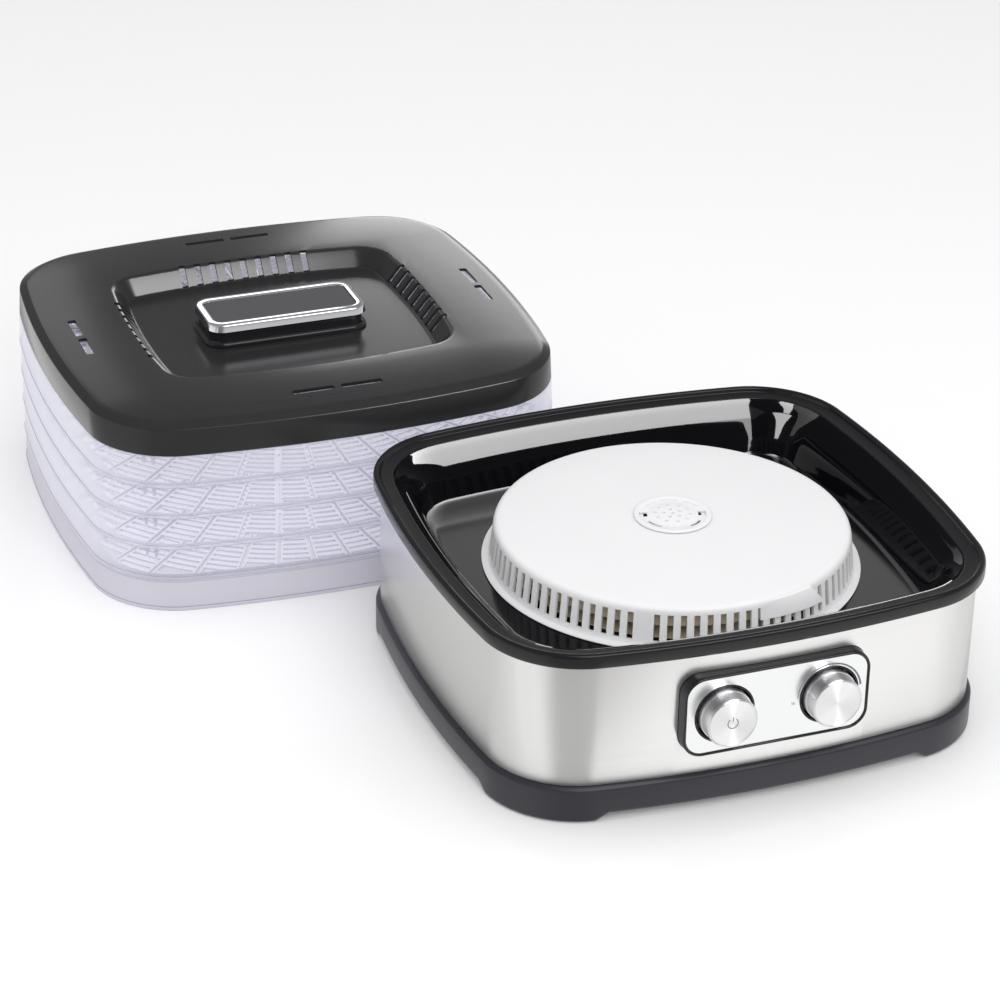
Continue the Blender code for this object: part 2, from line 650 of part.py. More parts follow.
# ---- the stack -----------------------------------------------------------------------------
def make_tray(stack, number):
    """A tray: a slotted grid at the top of its skirt, and a low lip that the next tray fits over."""
    low = (TRAY_COUNT - number) * TRAY_PITCH
    top = TRAY_PITCH - GAP
    lip = 0.0025
    profile = [(0.0056, top), (0.0054, top + lip), (0.0042, top + lip), (0.0040, top), (TRAY_DRAFT, top),
               (0.0, 0.0), (0.0020, 0.0), (TRAY_DRAFT + 0.0020, top - GRID_THICKNESS)]
    mesh = loft([ring(FOOTPRINT, TRAY_INSET + inset, z) for inset, z in profile])
    piece = node(f"tray_{number}", mesh, "clear_plastic", stack, (0, 0, low))
    slots = bmesh.new()
    for column in range(GRID_COLUMNS):
        for row in range(GRID_ROWS):
            x = (column - (GRID_COLUMNS - 1) / 2) * GRID_PITCH[0]
            y = (row - (GRID_ROWS - 1) / 2) * GRID_PITCH[1]
            box((*GRID_SLOT, 0.01), (x, y, top), mesh=slots)
    cut(piece, slots)


def lid_slots():
    """The louvres in the four recess walls and the four pairs of vents in the top."""
    tool = bmesh.new()
    middle = (RECESS_FLOOR + LID_TOP) / 2
    for side in range(4):
        reach = RECESS_HALF[side % 2] - RECESS_WALL_INSET / 2
        for number in range(LOUVRE_COUNT):
            across = (number - (LOUVRE_COUNT - 1) / 2) * LOUVRE_PITCH
            box((0.0190, LOUVRE_WIDTH, 0.0090), (reach + 0.0015, across, middle - 0.0005),
                side * math.pi / 2, tool)
    for side, reach, offset, length, width in ((0, 0.1483, 0.0160, 0.0270, 0.0060),
                                               (1, 0.1370, 0.0173, 0.0294, 0.0054)):
        for half in (side, side + 2):
            for across in (-offset, offset):
                box((width, length, 0.02), (reach, across, LID_TOP), half * math.pi / 2, tool)
    return tool


def make_lid(stack):
    under = LID_INSET + WALL
    mesh = loft([
        ring(RECESS, RECESS_WALL_INSET, RECESS_FLOOR),
        ring(RECESS, 0.0012, LID_TOP - 0.0012),
        ring(RECESS, 0.0, LID_TOP),
        ring(FOOTPRINT, LID_INSET + LID_SHOULDER, LID_TOP),
        ring(FOOTPRINT, LID_INSET + 0.0020, LID_EDGE + 0.0014),
        ring(FOOTPRINT, LID_INSET, LID_EDGE - 0.0010),
        ring(FOOTPRINT, LID_INSET, LID_BOTTOM),
        ring(FOOTPRINT, under, LID_BOTTOM),
        ring(FOOTPRINT, under, LID_EDGE - 0.0020),
        ring(FOOTPRINT, LID_INSET + LID_SHOULDER, LID_TOP - WALL),
        ring(RECESS, -0.0012, LID_TOP - WALL),
        ring(RECESS, RECESS_WALL_INSET - 0.0018, RECESS_FLOOR - 0.0024),
    ])
    piece = node("lid", mesh, "black_plastic", stack)
    cut(piece, lid_slots())
    holes = bmesh.new()
    for side in (-1, 1):
        drum(0.0019, 0.12, 0.135, (side * HANDLE_SCREW_X, 0), 12, holes)
    cut(piece, holes)


def make_handle(stack):
    sections = [(0.0595, 0.0257, 0.0120, RECESS_FLOOR + GAP), (0.0595, 0.0257, 0.0120, RECESS_FLOOR + 0.0016),
                (0.0500, 0.0175, 0.0100, RECESS_FLOOR + 0.0032), (0.0500, 0.0175, 0.0100, 0.1378),
                (0.0555, 0.0232, 0.0105, 0.1390), (0.0555, 0.0232, 0.0105, 0.1405)]
    base = node("handle_base", loft([rounded(*section) for section in sections]), "black_plastic", stack)
    bores = bmesh.new()
    for side in (-1, 1):
        drum(0.0018, 0.12, 0.1378, (side * HANDLE_SCREW_X, 0), 12, bores)
    cut(base, bores)

    sections = [(0.0568, 0.0245, 0.0100, 0.1408), (0.0586, 0.0263, 0.0115, 0.1422),
                (0.0586, 0.0263, 0.0115, HANDLE_TOP - 0.0012), (0.0575, 0.0252, 0.0105, HANDLE_TOP),
                (0.0540, 0.0203, 0.0070, HANDLE_TOP), (0.0540, 0.0203, 0.0070, 0.1408)]
    node("handle_trim", loft([rounded(*section) for section in sections], closed=True), "chrome", stack)

    mesh = loft([rounded(0.0537, 0.0200, 0.0067, z) for z in (0.1408, HANDLE_TOP - 0.0006)])
    node("handle_inlay", mesh, "dark_inlay", stack)

    head_top = RECESS_FLOOR - 0.0024 - GAP
    for number, side in enumerate((-1, 1), 1):
        mesh = turned([(0.0030, head_top - 0.0020), (0.0038, head_top - 0.0012), (0.0038, head_top),
                       (0.0015, head_top), (0.0015, 0.1370)], 12)
        node(f"handle_screw_{number}", mesh, "zinc_steel", stack, (side * HANDLE_SCREW_X, 0, 0))


def main():
    clear_scene()
    base = frame_empty("base_centre", BASE_CENTRE)
    stack = frame_empty("stack_centre", STACK_CENTRE)
    make_bottom_housing(base)
    make_feet_and_screws(base)
    make_intake_grille(base)
    make_steel_band(base)
    make_rim_frame(base)
    make_inner_well(base)
    make_fan_cover(base)
    make_vent_cap(base)
    make_heater(base)
    make_motor(base)
    make_fan(base)
    make_panel(base)
    make_button(base)
    make_knob(base)
    make_power_inlet(base)
    make_terminal_block(base)
    make_leads(base)
    for number in range(1, TRAY_COUNT + 1):
        make_tray(stack, number)
    make_lid(stack)
    make_handle(stack)


main()
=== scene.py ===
"""Looks of the food dehydrator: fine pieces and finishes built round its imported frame."""

import math

import bmesh
import bpy
from mathutils import Matrix, Vector


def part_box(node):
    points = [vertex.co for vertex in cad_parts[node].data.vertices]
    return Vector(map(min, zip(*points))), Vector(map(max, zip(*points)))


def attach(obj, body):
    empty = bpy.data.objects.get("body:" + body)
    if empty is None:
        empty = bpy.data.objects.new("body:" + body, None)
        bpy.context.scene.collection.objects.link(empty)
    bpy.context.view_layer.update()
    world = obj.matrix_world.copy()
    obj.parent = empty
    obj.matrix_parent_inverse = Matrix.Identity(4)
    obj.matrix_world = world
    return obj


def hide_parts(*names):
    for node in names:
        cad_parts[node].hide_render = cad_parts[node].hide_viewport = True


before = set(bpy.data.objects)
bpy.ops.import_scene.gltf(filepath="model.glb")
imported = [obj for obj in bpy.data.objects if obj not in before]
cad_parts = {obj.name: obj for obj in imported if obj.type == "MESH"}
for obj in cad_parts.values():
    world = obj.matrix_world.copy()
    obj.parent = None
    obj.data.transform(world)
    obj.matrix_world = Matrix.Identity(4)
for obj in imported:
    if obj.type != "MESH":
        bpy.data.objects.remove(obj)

TURN = 2 * math.pi
TRAY_PITCH = 0.0234
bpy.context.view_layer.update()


def middle(node):
    """The point on the floor under the middle of a CAD node."""
    low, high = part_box(node)
    return Vector(((low.x + high.x) / 2, (low.y + high.y) / 2, 0))


BASE = middle("rim_frame")
STACK = middle("lid")

# ---- outlines ------------------------------------------------------------------------------
SIDE_STEPS = 56
CORNER_STEPS = 32


def outline(half_w, half_d, side_r, corner_r):
    """Points and outward normals of four wide arcs joined by four corner arcs."""
    drop, shift = side_r - half_d, side_r - half_w
    span = math.hypot(drop, shift)
    reach = math.sqrt((side_r - corner_r) ** 2 - (span / 2) ** 2)
    corner = Vector((-shift / 2 + reach * drop / span, -drop / 2 + reach * shift / span))
    side_end = math.atan2(corner.y, corner.x + shift)
    back_start = math.atan2(corner.y + drop, corner.x)
    arcs = ((Vector((-shift, 0)), side_r, 0, side_end, SIDE_STEPS // 2),
            (corner, corner_r, side_end, back_start, CORNER_STEPS),
            (Vector((0, -drop)), side_r, back_start, math.pi / 2, SIDE_STEPS // 2))
    quarter = []
    for centre, radius, start, end, steps in arcs:
        for step in range(steps):
            angle = start + (end - start) * step / steps
            normal = Vector((math.cos(angle), math.sin(angle)))
            quarter.append((centre + radius * normal, normal))
    quarter.append((Vector((0, half_d)), Vector((0, 1))))
    left = [(Vector((-p.x, p.y)), Vector((-n.x, n.y))) for p, n in reversed(quarter[:-1])]
    upper = quarter + left
    lower = [(Vector((p.x, -p.y)), Vector((n.x, -n.y))) for p, n in reversed(upper[1:-1])]
    return upper + lower


HALF_WIDTH = 0.1750
HALF_DEPTH = 0.1659
SIDE_RADIUS = 0.8214
FOOTPRINT = outline(HALF_WIDTH, HALF_DEPTH, SIDE_RADIUS, corner_r=0.0648)
RECESS = outline(0.1085, 0.0960, 0.6000, corner_r=0.0240)


def ring(path, inset, height):
    return [(p.x - inset * n.x, p.y - inset * n.y, height) for p, n in path]


def rings(path, profile):
    return [ring(path, inset, height) for inset, height in profile]


def circle(radius, height, steps=96):
    return [(radius * math.cos(TURN * i / steps), radius * math.sin(TURN * i / steps), height)
            for i in range(steps)]


def polar(radius, angle):
    return Vector((radius * math.cos(angle), radius * math.sin(angle)))


def circle_along(path, radius, height):
    return [(radius * p.x / p.length, radius * p.y / p.length, height) for p, _ in path]


def rounded(half_x, half_y, corner, height, steps=14):
    points = []
    for turn, (sx, sy) in enumerate(((1, 1), (-1, 1), (-1, -1), (1, -1))):
        for step in range(steps + 1):
            angle = (turn + step / steps) * math.pi / 2
            points.append((sx * (half_x - corner) + corner * math.cos(angle),
                           sy * (half_y - corner) + corner * math.sin(angle), height))
    return points


def smooth(knots, steps=6):
    """A curve through the knots, as a list of tuples."""
    padded = [knots[0], *knots, knots[-1]]
    curve = []
    for a, b, c, d in zip(padded, padded[1:], padded[2:], padded[3:]):
        for step in range(steps):
            t = step / steps
            weights = (-t + 2 * t ** 2 - t ** 3, 2 - 5 * t ** 2 + 3 * t ** 3,
                       t + 4 * t ** 2 - 3 * t ** 3, t ** 3 - t ** 2)
            curve.append(tuple(0.5 * sum(w * k[axis] for w, k in zip(weights, (a, b, c, d)))
                               for axis in range(len(b))))
    return curve + [tuple(knots[-1])]


# ---- shapes --------------------------------------------------------------------------------
def loft(rows, closed=False, mesh=None):
    """Bridge a row of rings; the last joins the first, or both ends are capped."""
    mesh = mesh or bmesh.new()
    loops = [[mesh.verts.new(co) for co in row] for row in rows]
    pairs = list(zip(loops, loops[1:]))
    if closed:
        pairs.append((loops[-1], loops[0]))
    else:
        mesh.faces.new(list(reversed(loops[0])))
        mesh.faces.new(loops[-1])
    for lower, upper in pairs:
        for i, start in enumerate(lower):
            j = (i + 1) % len(lower)
            mesh.faces.new((start, lower[j], upper[j], upper[i]))
    return mesh


def stacked(sections, closed=False, steps=14):
    """Bridge rounded rectangles, each given as half width, half depth, corner radius and height."""
    return loft([rounded(*section, steps=steps) for section in sections], closed)


def turned(profile, steps=96, closed=False):
    return loft([circle(radius, height, steps) for radius, height in profile], closed)


def to_data(name, mesh):
    bmesh.ops.recalc_face_normals(mesh, faces=mesh.faces)
    data = bpy.data.meshes.new(name)
    mesh.to_mesh(data)
    mesh.free()
    return data


def carve(data, tool):
    """Cut one closed shape out of another."""
    piece = bpy.data.objects.new("carved", data)
    cutter = bpy.data.objects.new("cutter", to_data("cutter", tool))
    for thing in (piece, cutter):
        bpy.context.collection.objects.link(thing)
    modifier = piece.modifiers.new("cut", "BOOLEAN")
    modifier.object = cutter
    modifier.solver = "EXACT"
    bpy.context.view_layer.update()
    done = bpy.data.meshes.new_from_object(piece.evaluated_get(bpy.context.evaluated_depsgraph_get()))
    bpy.data.objects.remove(piece)
    bpy.data.objects.remove(cutter)
    return done


def place(name, shape, material, body, at, replaces=(), rotation=(0, 0, 0), sharp=38):
    """One piece of the object, riding on a CAD body."""
    data = shape if isinstance(shape, bpy.types.Mesh) else to_data(name, shape)
    data.name = name
    if not data.materials:
        data.materials.append(material)
    data.shade_smooth()
    data.set_sharp_from_angle(angle=math.radians(sharp))
    piece = bpy.data.objects.new(name, data)
    bpy.context.collection.objects.link(piece)
    piece.location = at
    piece.rotation_euler = rotation
    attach(piece, body)
    if replaces:
        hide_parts(*replaces)
    return piece


# ---- finishes ------------------------------------------------------------------------------
def link(tree, source, target):
    tree.links.new(source, target)


def feed(tree, socket, value):
    """Give a socket a plain value, or another node's output."""
    if isinstance(value, bpy.types.NodeSocket):
        link(tree, value, socket)
    else:
        socket.default_value = value


def mixed(tree, factor, first, second, blend="MIX"):
    node = tree.nodes.new("ShaderNodeMix")
    node.data_type = "RGBA"
    node.blend_type = blend
    for name, value in (("Factor", factor), ("A", first), ("B", second)):
        feed(tree, node.inputs[name], value)
    return node.outputs["Result"]


def calculated(tree, operation, *values, clamp=False):
    node = tree.nodes.new("ShaderNodeMath")
    node.operation = operation
    node.use_clamp = clamp
    for socket, value in zip(node.inputs, values):
        feed(tree, socket, value)
    return node.outputs["Value"]


def remapped(tree, value, from_low, from_high, to_low=0.0, to_high=1.0):
    node = tree.nodes.new("ShaderNodeMapRange")
    for name, limit in (("From Min", from_low), ("From Max", from_high),
                        ("To Min", to_low), ("To Max", to_high)):
        node.inputs[name].default_value = limit
    link(tree, value, node.inputs["Value"])
    return node.outputs["Result"]


def ramp(tree, value, stops):
    """Colours along a value from 0 to 1; each stop is a position and a grey level or a colour."""
    node = tree.nodes.new("ShaderNodeValToRGB")
    elements = node.color_ramp.elements
    while len(elements) < len(stops):
        elements.new(1.0)
    for element, (position, level) in zip(elements, stops):
        element.position = position
        element.color = (*(level if isinstance(level, tuple) else (level,) * 3), 1)
    link(tree, value, node.inputs["Fac"])
    return node.outputs["Color"]


def noise(tree, scale, detail=3.0, stretch=(1, 1, 1)):
    """A noise value from 0 to 1 in the piece's own space."""
    where = tree.nodes.new("ShaderNodeTexCoord")
    mapping = tree.nodes.new("ShaderNodeMapping")
    mapping.inputs["Scale"].default_value = stretch
    texture = tree.nodes.new("ShaderNodeTexNoise")
    texture.inputs["Scale"].default_value = scale
    texture.inputs["Detail"].default_value = detail
    link(tree, where.outputs["Object"], mapping.inputs["Vector"])
    link(tree, mapping.outputs["Vector"], texture.inputs["Vector"])
    return texture.outputs["Fac"]


NOISE_RANGE = (0.3, 0.7)        # the values that nearly all of a noise falls between


def finish(name, colour, roughness, metallic=0.0, mottle=0.06, mottle_scale=18.0, wear=0.04,
           grain=1400.0, bump=0.03, stretch=(1, 1, 1), aniso=None, specular=0.5):
    """A procedural finish: mottled colour, uneven gloss and a fine surface grain."""
    material = bpy.data.materials.new(name)
    material.use_nodes = True
    tree = material.node_tree
    shader = tree.nodes["Principled BSDF"]
    patches = noise(tree, mottle_scale, stretch=stretch)
    darker = (*(c * (1 - mottle) for c in colour), 1)
    lighter = (*(min(1.0, c * (1 + mottle)) for c in colour), 1)
    link(tree, mixed(tree, patches, darker, lighter), shader.inputs["Base Color"])
    uneven = remapped(tree, patches, *NOISE_RANGE, max(0.01, roughness - wear), roughness + wear)
    link(tree, uneven, shader.inputs["Roughness"])
    shader.inputs["Metallic"].default_value = metallic
    shader.inputs["Specular IOR Level"].default_value = specular
    if bump:
        relief = tree.nodes.new("ShaderNodeBump")
        relief.inputs["Strength"].default_value = bump
        relief.inputs["Distance"].default_value = 0.0005
        link(tree, noise(tree, grain, 2.0, stretch), relief.inputs["Height"])
        link(tree, relief.outputs["Normal"], shader.inputs["Normal"])
    if aniso:
        tangent = tree.nodes.new("ShaderNodeTangent")
        tangent.direction_type = "RADIAL"
        tangent.axis = "Z"
        shader.inputs["Anisotropic"].default_value = aniso[0]
        shader.inputs["Anisotropic Rotation"].default_value = aniso[1]
        link(tree, tangent.outputs["Tangent"], shader.inputs["Tangent"])
    return material


def clear_finish(name, colour, opacity, edge, glow, shade):
    """Milky clear plastic: see-through face on, denser at a glancing angle and along its beads, with a
    painted glow.
    """
    material = finish(name, colour, 0.16, mottle=0.03, wear=0.05, bump=0.02, grain=400)
    tree = material.node_tree
    shader = tree.nodes["Principled BSDF"]
    facing = tree.nodes.new("ShaderNodeLayerWeight")
    facing.inputs["Blend"].default_value = 0.35
    density = remapped(tree, facing.outputs["Facing"], 0.0, 1.0, opacity, edge)
    where = tree.nodes.new("ShaderNodeTexCoord")
    split = tree.nodes.new("ShaderNodeSeparateXYZ")
    link(tree, where.outputs["Object"], split.inputs["Vector"])
    height = remapped(tree, split.outputs["Z"], 0.0, TRAY_PITCH)
    beads = ramp(tree, height, [(0.0, 1.0), (0.014, 0.0), (0.118, 0.0), (0.122, 1.0), (0.134, 1.0),
                                (0.138, 0.0), (0.925, 0.0), (0.930, 0.7), (0.938, 0.7), (0.943, 0.0)])
    base = shader.inputs["Base Color"].links[0].from_socket
    link(tree, mixed(tree, beads, base, (0.20, 0.19, 0.34, 1)), shader.inputs["Base Color"])
    thick = calculated(tree, "MAXIMUM", density, calculated(tree, "MULTIPLY", beads, 0.75))
    path = tree.nodes.new("ShaderNodeLightPath")
    light = calculated(tree, "MAXIMUM", path.outputs["Is Shadow Ray"], path.outputs["Is Diffuse Ray"])
    alpha = calculated(tree, "MULTIPLY_ADD", light, shade, thick, clamp=True)
    link(tree, alpha, shader.inputs["Alpha"])
    # The emission is painted light: the plastic glows in its own colour, standing in for light scattered
    # through it.
    shader.inputs["Emission Color"].default_value = (*colour, 1)
    shader.inputs["Emission Strength"].default_value = glow
    return material


LOOKS = {
    "rim": finish("rim_black", (0.007, 0.007, 0.008), 0.13, wear=0.03, bump=0.01, specular=0.4),
    "ledge": finish("ledge_black", (0.007, 0.007, 0.008), 0.22, bump=0.02, specular=0.4),
    "skirt": finish("skirt_black", (0.024, 0.024, 0.031), 0.30, bump=0.04, specular=0.4),
    "lid": finish("lid_black", (0.022, 0.022, 0.023), 0.21, mottle=0.03, wear=0.01, bump=0.0,
                  specular=0.25),
    "well": finish("well_black", (0.003, 0.003, 0.004), 0.045, wear=0.01, bump=0.0, specular=0.06),
    "well_floor": finish("well_floor_black", (0.003, 0.003, 0.004), 0.13, wear=0.02, bump=0.0,
                         specular=0.08),
    "gloss": finish("gloss_black", (0.012, 0.012, 0.014), 0.10, wear=0.03, bump=0.01),
    "steel": finish("brushed_steel", (0.86, 0.855, 0.845), 0.23, 1.0, mottle=0.02, mottle_scale=3.0,
                    stretch=(3, 3, 900), wear=0.03, grain=2.0, bump=0.005, aniso=(0.9, 0.25)),
    "white": finish("white_plastic", (0.73, 0.73, 0.735), 0.42, mottle=0.01, bump=0.03),
    "clear": clear_finish("clear_plastic", (0.84, 0.835, 0.90), 0.16, 0.80, 0.13, 0.45),
    # The lowest tray's plastic is a darker, denser copy of the clear plastic: painted shade for its dim
    # inside.
    "clear_low_painted_shade": clear_finish("clear_plastic_painted_shade", (0.72, 0.71, 0.785), 0.50, 0.85, 0.06, 1.0),
    # The grid's upward faces glow brighter and its flanks take a darker copy of the plastic: painted
    # highlight on top, painted shade on the sides.
    "grid": clear_finish("clear_grid", (0.84, 0.84, 0.90), 0.85, 0.97, 0.30, 0.45),
    "grid_painted_shade": clear_finish("clear_grid_painted_shade", (0.56, 0.56, 0.65), 0.70, 0.90, 0.08, 0.45),
    "chrome": finish("chrome", (0.90, 0.91, 0.93), 0.05, 1.0, mottle=0.02, wear=0.02, bump=0.0),
    "plate": finish("silver_plate", (0.87, 0.875, 0.88), 0.22, 1.0, mottle=0.02, grain=2500, bump=0.02),
    "spun": finish("spun_aluminium", (0.90, 0.90, 0.91), 0.30, 1.0, mottle=0.02, wear=0.02, bump=0.0,
                   aniso=(0.95, 0.25)),
    "inlay": finish("dark_inlay", (0.070, 0.067, 0.074), 0.30, bump=0.04),
    "rubber": finish("rubber", (0.03, 0.03, 0.03), 0.85, mottle=0.2, bump=0.2),
    "mica": finish("mica", (0.80, 0.69, 0.52), 0.70, mottle=0.15, mottle_scale=60, bump=0.1),
    "wire": finish("heater_wire", (0.35, 0.33, 0.31), 0.45, 1.0, mottle=0.2, bump=0.1),
    "zinc": finish("zinc_steel", (0.55, 0.56, 0.57), 0.40, 1.0, mottle=0.12, mottle_scale=90, wear=0.1),
    "switch": finish("switch_plastic", (0.75, 0.74, 0.70), 0.50, mottle=0.04, bump=0.04),
    "lead": finish("lead_insulation", (0.55, 0.12, 0.08), 0.55, mottle=0.08, bump=0.05),
    "print": finish("printed_grey", (0.16, 0.17, 0.19), 0.45, mottle=0.05, bump=0.0),
}

# ---- base: skirt, steel, rim and well ------------------------------------------------------
NOTCH_RISE = 0.0050
NOTCH_SLOPE = 0.0080    # the way along the edge in which it rises
NOTCH_HALF_X, NOTCH_HALF_Y = 0.1130, 0.1040


def foot_height(x, y):
    """How far the underside is raised between the four corner feet."""
    across = min(1.0, max(0.0, (NOTCH_HALF_X - abs(x)) / NOTCH_SLOPE))
    along = min(1.0, max(0.0, (NOTCH_HALF_Y - abs(y)) / NOTCH_SLOPE))
    return NOTCH_RISE * max(across, along)


def skirt_ring(inset, height):
    return [(x, y, z + foot_height(x, y)) for x, y, z in ring(FOOTPRINT, inset, height)]


mesh = loft([
    circle_along(FOOTPRINT, 0.0550, 0.0086), circle_along(FOOTPRINT, 0.0550, 0.0064),
    circle_along(FOOTPRINT, 0.0560, 0.0060), ring(FOOTPRINT, 0.0560, 0.0060),
    skirt_ring(0.0400, 0.0010), skirt_ring(0.0200, 0.0010), skirt_ring(0.0036, 0.0010),
    skirt_ring(0.0024, 0.0014), skirt_ring(0.0019, 0.0024), skirt_ring(0.0018, 0.0036),
    *rings(FOOTPRINT, [(0.0018, 0.0150), (0.0018, 0.0222), (0.0020, 0.0228), (0.0026, 0.0235),
                       (0.0036, 0.0242), (0.0045, 0.0249), (0.0066, 0.0250), (0.0066, 0.0100),
                       (0.0300, 0.0090)]),
], closed=True)
place("skirt", mesh, LOOKS["skirt"], "base", BASE, ["bottom_housing"])

panel_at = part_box("panel_plate")
PANEL = Vector((BASE.x, panel_at[0].y, (panel_at[0].z + panel_at[1].z) / 2))
FACING_FRONT = (math.pi / 2, 0, 0)

BAND_INSET = 0.00495
band = loft(rings(FOOTPRINT, [(BAND_INSET, 0.0257), (BAND_INSET, 0.1128), (0.0050, 0.1130),
                              (0.0057, 0.1130), (0.0057, 0.0253), (0.0052, 0.0253)]), closed=True)
hole = stacked([(0.0624, 0.0279, 0.0135, z) for z in (0.0, 0.08)])
hole.transform(Matrix.Translation((0, PANEL.y - BASE.y + 0.04, PANEL.z))
               @ Matrix.Rotation(math.pi / 2, 4, "X"))
place("steel_wrap", carve(to_data("band", band), hole), LOOKS["steel"], "base", BASE,
      ["steel_band"])

rim_profile = [(0.0012, 0.1103), (0.0004, 0.1105), (0.0, 0.1111), (0.0, 0.1166), (0.0002, 0.1178),
               (0.0006, 0.1186), (0.0012, 0.1192), (0.0020, 0.1195), (0.0030, 0.1195), (0.0037, 0.1193),
               (0.0042, 0.1188), (0.0046, 0.1181), (0.0049, 0.1170), (0.0052, 0.1165), (0.0058, 0.1162),
               (0.0124, 0.1162), (0.0131, 0.1161), (0.0136, 0.1157), (0.0139, 0.1150), (0.0139, 0.1133),
               (0.0044, 0.1133), (0.0044, 0.1103)]
rim = to_data("rim", loft(rings(FOOTPRINT, rim_profile), closed=True))
rim.materials.append(LOOKS["rim"])
rim.materials.append(LOOKS["ledge"])
for face in rim.polygons:
    face.material_index = int(face.normal.z > 0.97 and face.center.z < 0.1170)
place("rim", rim, LOOKS["rim"], "base", BASE, ["rim_frame"])

WELL = smooth([(0.0147, 0.1159), (0.0196, 0.1130), (0.0248, 0.1074), (0.0294, 0.0988), (0.0330, 0.0896),
               (0.0350, 0.0846)]) + [(0.0353, 0.0841), (0.0358, 0.0838)]
behind = [(inset - 0.0018, z - 0.0014) for inset, z in reversed(WELL[8:-3])]
mesh = loft([*rings(FOOTPRINT, [(0.0075, 0.1130), (0.0142, 0.1130), (0.0142, 0.1157)]),
             *rings(FOOTPRINT, WELL), ring(FOOTPRINT, 0.0400, 0.0838),
             circle_along(FOOTPRINT, 0.0965, 0.0838), circle_along(FOOTPRINT, 0.0960, 0.0833),
             circle_along(FOOTPRINT, 0.0960, 0.0815), *rings(FOOTPRINT, [(0.0372, 0.0815), *behind]),
             *rings(FOOTPRINT, [(0.0166, 0.1108), (0.0075, 0.1108)])], closed=True)
well = to_data("well", mesh)
well.materials.append(LOOKS["well"])
well.materials.append(LOOKS["well_floor"])
for face in well.polygons:
    face.material_index = int(face.normal.z > 0.9995)
place("well", well, LOOKS["well"], "base", BASE, ["inner_well"])

# ---- base: cover ---------------------------------------------------------------------------
SLOT_PITCHES = 88
SLOT_SHARE = 0.46       # of a pitch
PLAIN_AT = 237.2        # where one slot is left out, in degrees from +X
cover_outer = [(0.1228, 0.0841), (0.1232, 0.0845), (0.1232, 0.0850), (0.1227, 0.0854), (0.1196, 0.0855),
               (0.1189, 0.0858), (0.1185, 0.0865), (0.1181, 0.0884), (0.1161, 0.1068), (0.1158, 0.1080),
               (0.1154, 0.1092), (0.1147, 0.1102), (0.1137, 0.1110), (0.1123, 0.1115), (0.1100, 0.1118),
               (0.0900, 0.1132), (0.0700, 0.1141), (0.0500, 0.1148), (0.0300, 0.1153), (0.0190, 0.1153)]
cover_inner = [(0.0190, 0.1133), (0.0300, 0.1133), (0.0500, 0.1128), (0.0700, 0.1121), (0.0900, 0.1112),
               (0.1095, 0.1098), (0.1120, 0.1093), (0.1134, 0.1083), (0.1141, 0.1068), (0.1161, 0.0884),
               (0.1165, 0.0841)]
cover_profile = cover_outer + cover_inner
OUTER_LOW, OUTER_HIGH = 7, 8
INNER_HIGH, INNER_LOW = len(cover_outer) + 8, len(cover_outer) + 9


def slotted_cover():
    """A turned body whose side wall is pierced by upright slots."""
    mesh = bmesh.new()
    angles = []
    for pitch in range(SLOT_PITCHES):
        start = TURN * pitch / SLOT_PITCHES
        angles += [(start, True), (start + TURN / SLOT_PITCHES * SLOT_SHARE, False)]
    missing = round(PLAIN_AT / 360 * SLOT_PITCHES) * 2
    loops = [[mesh.verts.new((r * math.cos(a), r * math.sin(a), z)) for a, _ in angles]
             for r, z in cover_profile]
    count = len(angles)
    for j, loop in enumerate(loops):
        after = loops[(j + 1) % len(loops)]
        for i in range(count):
            k = (i + 1) % count
            if not (j in (OUTER_LOW, INNER_HIGH) and angles[i][1] and i != missing):
                mesh.faces.new((loop[i], loop[k], after[k], after[i]))
    for i in range(0, count, 2):
        k = i + 1
        if i == missing:
            continue
        low_out, high_out = loops[OUTER_LOW], loops[OUTER_HIGH]
        high_in, low_in = loops[INNER_HIGH], loops[INNER_LOW]
        mesh.faces.new((low_out[i], high_out[i], high_in[i], low_in[i]))
        mesh.faces.new((low_out[k], high_out[k], high_in[k], low_in[k]))
        mesh.faces.new((high_out[i], high_out[k], high_in[k], high_in[i]))
        mesh.faces.new((low_out[i], low_out[k], low_in[k], low_in[i]))
    return mesh


HOOD_FOOT = 0.0985      # the height at which it starts


def hood(mesh):
    """A wedge on the cover's side that grows out of it and ends in a slanted face.

    Each section has its direction in degrees, how far it stands out, and its slant in degrees per metre.
    """
    rows = []
    for degrees, out, slant in ((-85, 0.0, 0), (-82, 0.0004, 0), (-78, 0.0014, 0), (-73, 0.0026, 0),
                                (-69, 0.0034, 0), (-65, 0.0040, 0), (-61.2, 0.0042, 350)):
        section = ((0.1150, HOOD_FOOT), (0.1172 + out, HOOD_FOOT), (0.1168 + out, 0.1005),
                   (0.1158 + out * 0.7, 0.1068), (0.1150 + out * 0.4, 0.1096), (0.1138, 0.1106),
                   (0.1120, 0.1106))
        row = []
        for r, z in section:
            turn = math.radians(degrees - slant * (z - HOOD_FOOT))
            row.append((r * math.cos(turn), r * math.sin(turn), z))
        rows.append(row)
    return loft(rows, mesh=mesh)


place("cover", hood(slotted_cover()), LOOKS["white"], "base", BASE,
      ["fan_cover"], sharp=30)

